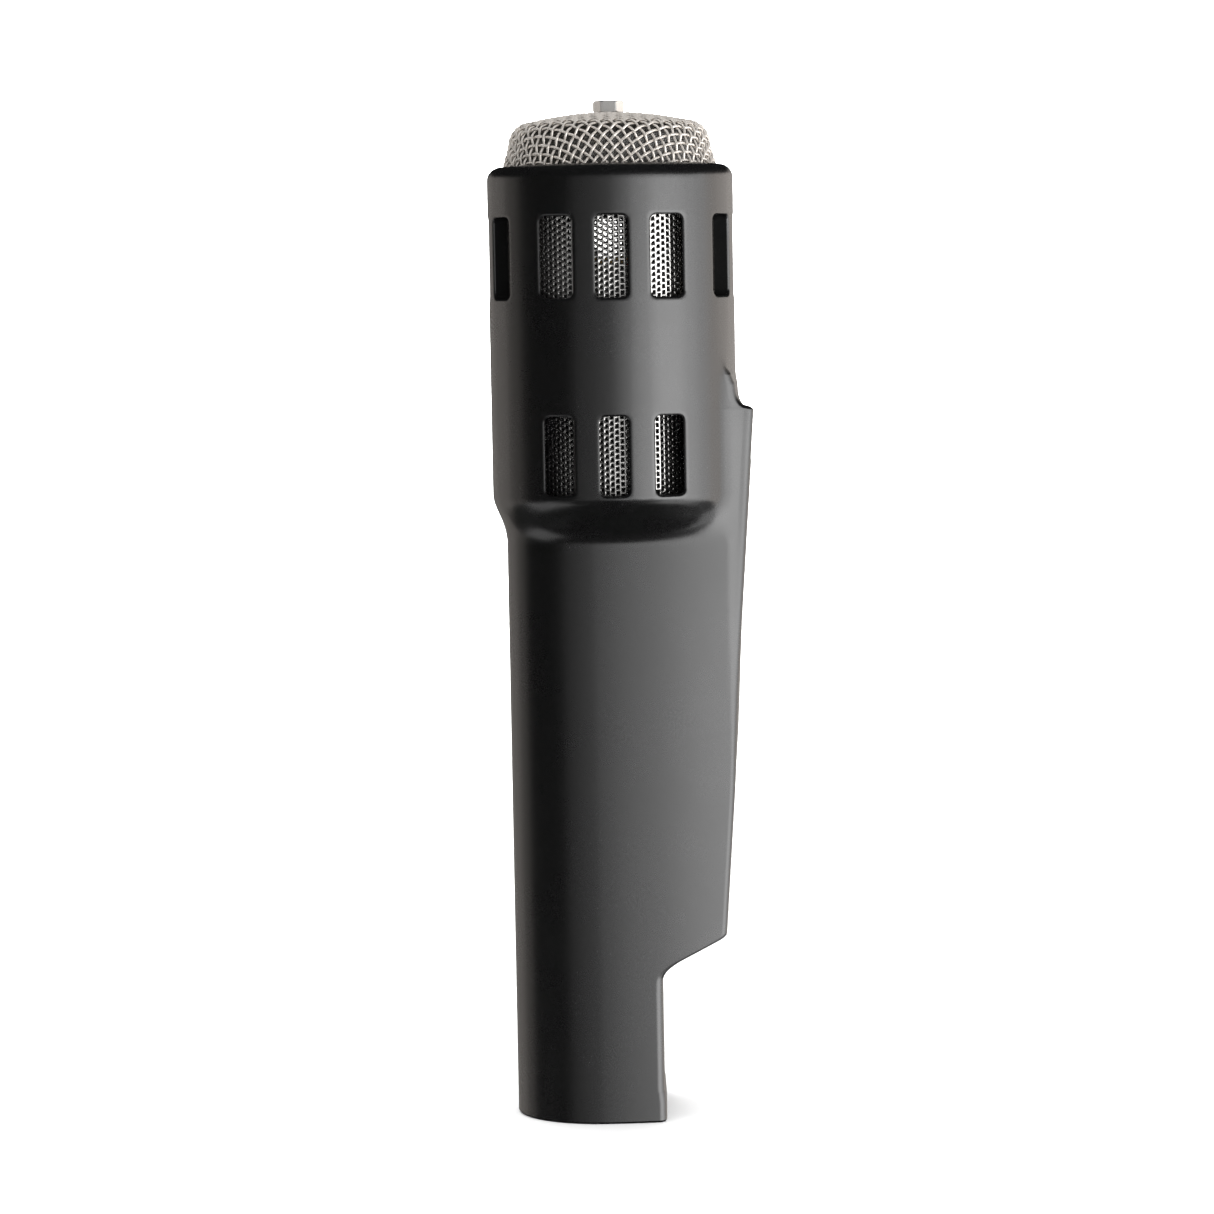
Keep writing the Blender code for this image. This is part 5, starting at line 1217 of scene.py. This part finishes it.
newPiece("connector_collar", blockMesh(), materials["blackAlloy"],
         standsFor=["connector_block"])
insertReach = (insertHigh[1] - insertLow[1]) / 2
insertDepth = insertHigh[2] - insertLow[2]
newPiece("pin_carrier", turnedMesh("pin_carrier", [
    (0, 0.5, 0), (insertReach - 2.1, 0.5, 0.2), (insertReach - 1.7, 0, 0.2),
    (insertReach, 0, 0.3), (insertReach, insertDepth, 0.3), (0, insertDepth, 0)],
    (tubeX, 0, insertLow[2]), 72), materials["blackPlastic"], standsFor=["connector_insert"])
for index in range(3):
    low, high = nodeBox(f"contact_pin_{index + 1}")
    middle = ((low[0] + high[0]) / 2, (low[1] + high[1]) / 2, low[2])
    newPiece(f"plated_pin_{index + 1}", turnedMesh(f"plated_pin_{index + 1}", [
        (0, 0, 0), (socket["pin"], 0, 0.9), (socket["pin"], 12.6, 0.1),
        (socket["pinCollar"], 12.9, 0.1), (socket["pinCollar"], 13.6, 0.1),
        (socket["pin"], 13.9, 0.1), (socket["pin"], high[2] - low[2], 0.4),
        (0, high[2] - low[2], 0)], middle, 32), materials["goldPlate"],
        standsFor=[f"contact_pin_{index + 1}"])


def sliderMesh():
    # a small block, rounded at every edge and narrowed towards its outer end
    width, length = switch["width"], switch["length"]
    tip, root = 0.6, 4.9
    outline = roundedOutline(width, length, 0.25)
    depths = [root, root - 0.3, 2.0, tip + 0.55, tip + 0.3, tip + 0.12, tip]
    shrink = [0.1, 0, 0, 0, 0.02, 0.1, 0.3]
    rows = [np.column_stack([outline * (1 - np.array([less / width, less / length]) * 2),
                             np.full(len(outline), depth)])
            for depth, less in zip(depths, shrink)]
    points = np.concatenate(rows)
    points[:, 1] -= switch["travel"] / 2
    count = len(outline)
    caps = np.arange(count)[None]
    return newMesh("ridged_slider", laidOut(points, switchFrame), [
        gridFaces(len(rows), count, wrapColumns=True)[..., ::-1], caps,
        (caps + (len(rows) - 1) * count)[:, ::-1]])


newPiece("ridged_slider", sliderMesh(), materials["blackPlastic"], sliderBody,
         ["low_cut_slider"])
print("connector end ready")

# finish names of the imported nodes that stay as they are, and the look each one gets
finishes = {"black_satin_alloy": "blackSatin", "black_alloy": "blackAlloy",
            "stainless_steel": "brightSteel", "dark_steel": "darkSteel",
            "perforated_steel": "linerSteel", "brass": "brass", "magnet_nickel": "magnetNickel",
            "ribbon_aluminium": "ribbonFoil", "machined_alloy": "machinedAlloy",
            "rubber": "rubber", "grey_felt": "greyFelt", "laminated_steel": "laminatedSteel",
            "enamelled_copper": "enamelledCopper", "circuit_board": "circuitBoard",
            "black_plastic": "blackPlastic", "capacitor_film": "capacitorFilm",
            "capacitor_can": "capacitorCan", "gold_plate": "goldPlate", "wire_red": "redWire",
            "wire_white": "whiteWire"}
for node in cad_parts.values():
    for place in node.material_slots:
        stem = place.material.name.split(".")[0] if place.material else "machined_alloy"
        place.material = materials[finishes.get(stem, "machinedAlloy")]
print("inner finishes ready")

# camera in millimetres, its lens, and its roll in degrees
view = {"target": (-4.27, 0.0, 119.8), "eye": (-4.27, -853.1, 194.4), "lens": 107.8,
        "roll": 1.03}
target, eye = Vector(view["target"]) * mm, Vector(view["eye"]) * mm
lens = bpy.data.cameras.new("camera")
lens.sensor_width, lens.lens = 36, view["lens"]
camera = bpy.data.objects.new("camera", lens)
look = (target - eye).to_track_quat("-Z", "Y").to_matrix().to_4x4()
camera.matrix_world = (Matrix.Translation(eye) @ look
                       @ Matrix.Rotation(math.radians(-view["roll"]), 4, "Z"))
scene.collection.objects.link(camera)
scene.camera = camera


def floorMesh():
    # flat sheet that rises behind the object in one smooth curve
    rows, columns, bend = 120, 12, 1.4
    y, x = np.meshgrid(np.linspace(-6.0, 3.2, rows), np.linspace(-6.0, 6.0, columns),
                       indexing="ij")
    rise = np.where(y > bend, (y - bend) ** 2 * 0.9, 0.0)
    return newMesh("floor", np.stack([x, y, rise], -1) / mm, [gridFaces(rows, columns)], 60)


floorMaterial = finishMaterial("paleFloor", {
    "colour": (0.86, 0.86, 0.86), "tint": (0.88, 0.88, 0.88), "rough": (0.85, 0.95),
    "grain": 800.0, "bump": 0.02, "patch": 3.0})
floor = bpy.data.objects.new("floor", floorMesh())
scene.collection.objects.link(floor)
floor.data.materials.append(floorMaterial)
floor.visible_glossy, floor.visible_shadow = False, False  # black gloss shows the panels only


def softLight(name, place, aim, size, power, colour=(1, 1, 1), glossy=True):
    # a rectangle that faces its aim, in metres and watts
    lamp = bpy.data.lights.new(name, "AREA")
    lamp.shape, lamp.size, lamp.size_y, lamp.energy = "RECTANGLE", size[0], size[1], power
    lamp.color = colour
    piece = bpy.data.objects.new(name, lamp)
    piece.location = place
    away = Vector(place) - Vector(aim)
    piece.rotation_euler = away.to_track_quat("Z", "Y").to_euler()
    piece.visible_glossy, piece.visible_camera = glossy, False
    scene.collection.objects.link(piece)


# a ring of tall soft panels: azimuth (0 is the camera's side, growing to its right), half
# width in degrees, lowest and highest edge in metres, and brightness
panels = [(-152, 12, -0.5, 0.45, 0.35), (-126, 13, -0.5, 0.45, 0.42), (-103, 8, -0.5, 0.45, 0.25),
          (-28, 8, -0.5, 0.35, 0.16), (-8, 12, -0.5, 0.35, 0.25), (12, 8, -0.5, 0.35, 0.92),
          (28, 8, -0.5, 0.35, 1.9), (52, 16, -0.6, 0.35, 2.75), (76, 8, -0.6, 0.35, 2.1),
          (92, 8, -0.6, 0.45, 1.4), (112, 12, -0.5, 0.45, 1.1), (136, 12, -0.5, 0.45, 1.0),
          (158, 10, -0.5, 0.45, 0.7)]
ring = {"distance": 1.3, "gain": 3.6, "warm": (1, 0.93, 0.87)}
for number, (azimuth, half, low, high, bright) in enumerate(panels):
    turn, width = math.radians(azimuth), 2 * ring["distance"] * math.tan(math.radians(half))
    place = (math.sin(turn) * ring["distance"], -math.cos(turn) * ring["distance"],
             (low + high) / 2)
    softLight(f"panel_{number + 1}", place, (0, 0, (low + high) / 2), (width, high - low),
              bright * ring["gain"] * width * (high - low),
              ring["warm"] if abs(azimuth) > 100 else (1, 1, 1))
softLight("lowRight", (0.95, -0.25, -0.75), (0, 0, 0.15), (0.9, 0.7), 1.9)
softLight("lowLeft", (-0.95, -0.15, -0.75), (0, 0, 0.15), (0.9, 0.7), 1.1)
softLight("overhead", (0, -0.1, 1.9), (0, 0, 0), (3.0, 3.0), 105, glossy=False)
softLight("backdrop", (0, 1.2, 1.7), (0, 2.9, 0.6), (3.4, 1.2), 150, glossy=False)
world = bpy.data.worlds.new("studio")
world.use_nodes = True
world.node_tree.nodes["Background"].inputs["Color"].default_value = (1, 1, 1, 1)
path = addNode(world.node_tree, "ShaderNodeLightPath").outputs["Is Camera Ray"]
strength = addNode(world.node_tree, "ShaderNodeMapRange", {"Value": path, "To Min": 0.012,
                                                          "To Max": 1.05}).outputs[0]
world.node_tree.links.new(strength, world.node_tree.nodes["Background"].inputs["Strength"])
scene.world = world
scene.view_settings.view_transform = "Standard"

print("stage ready")
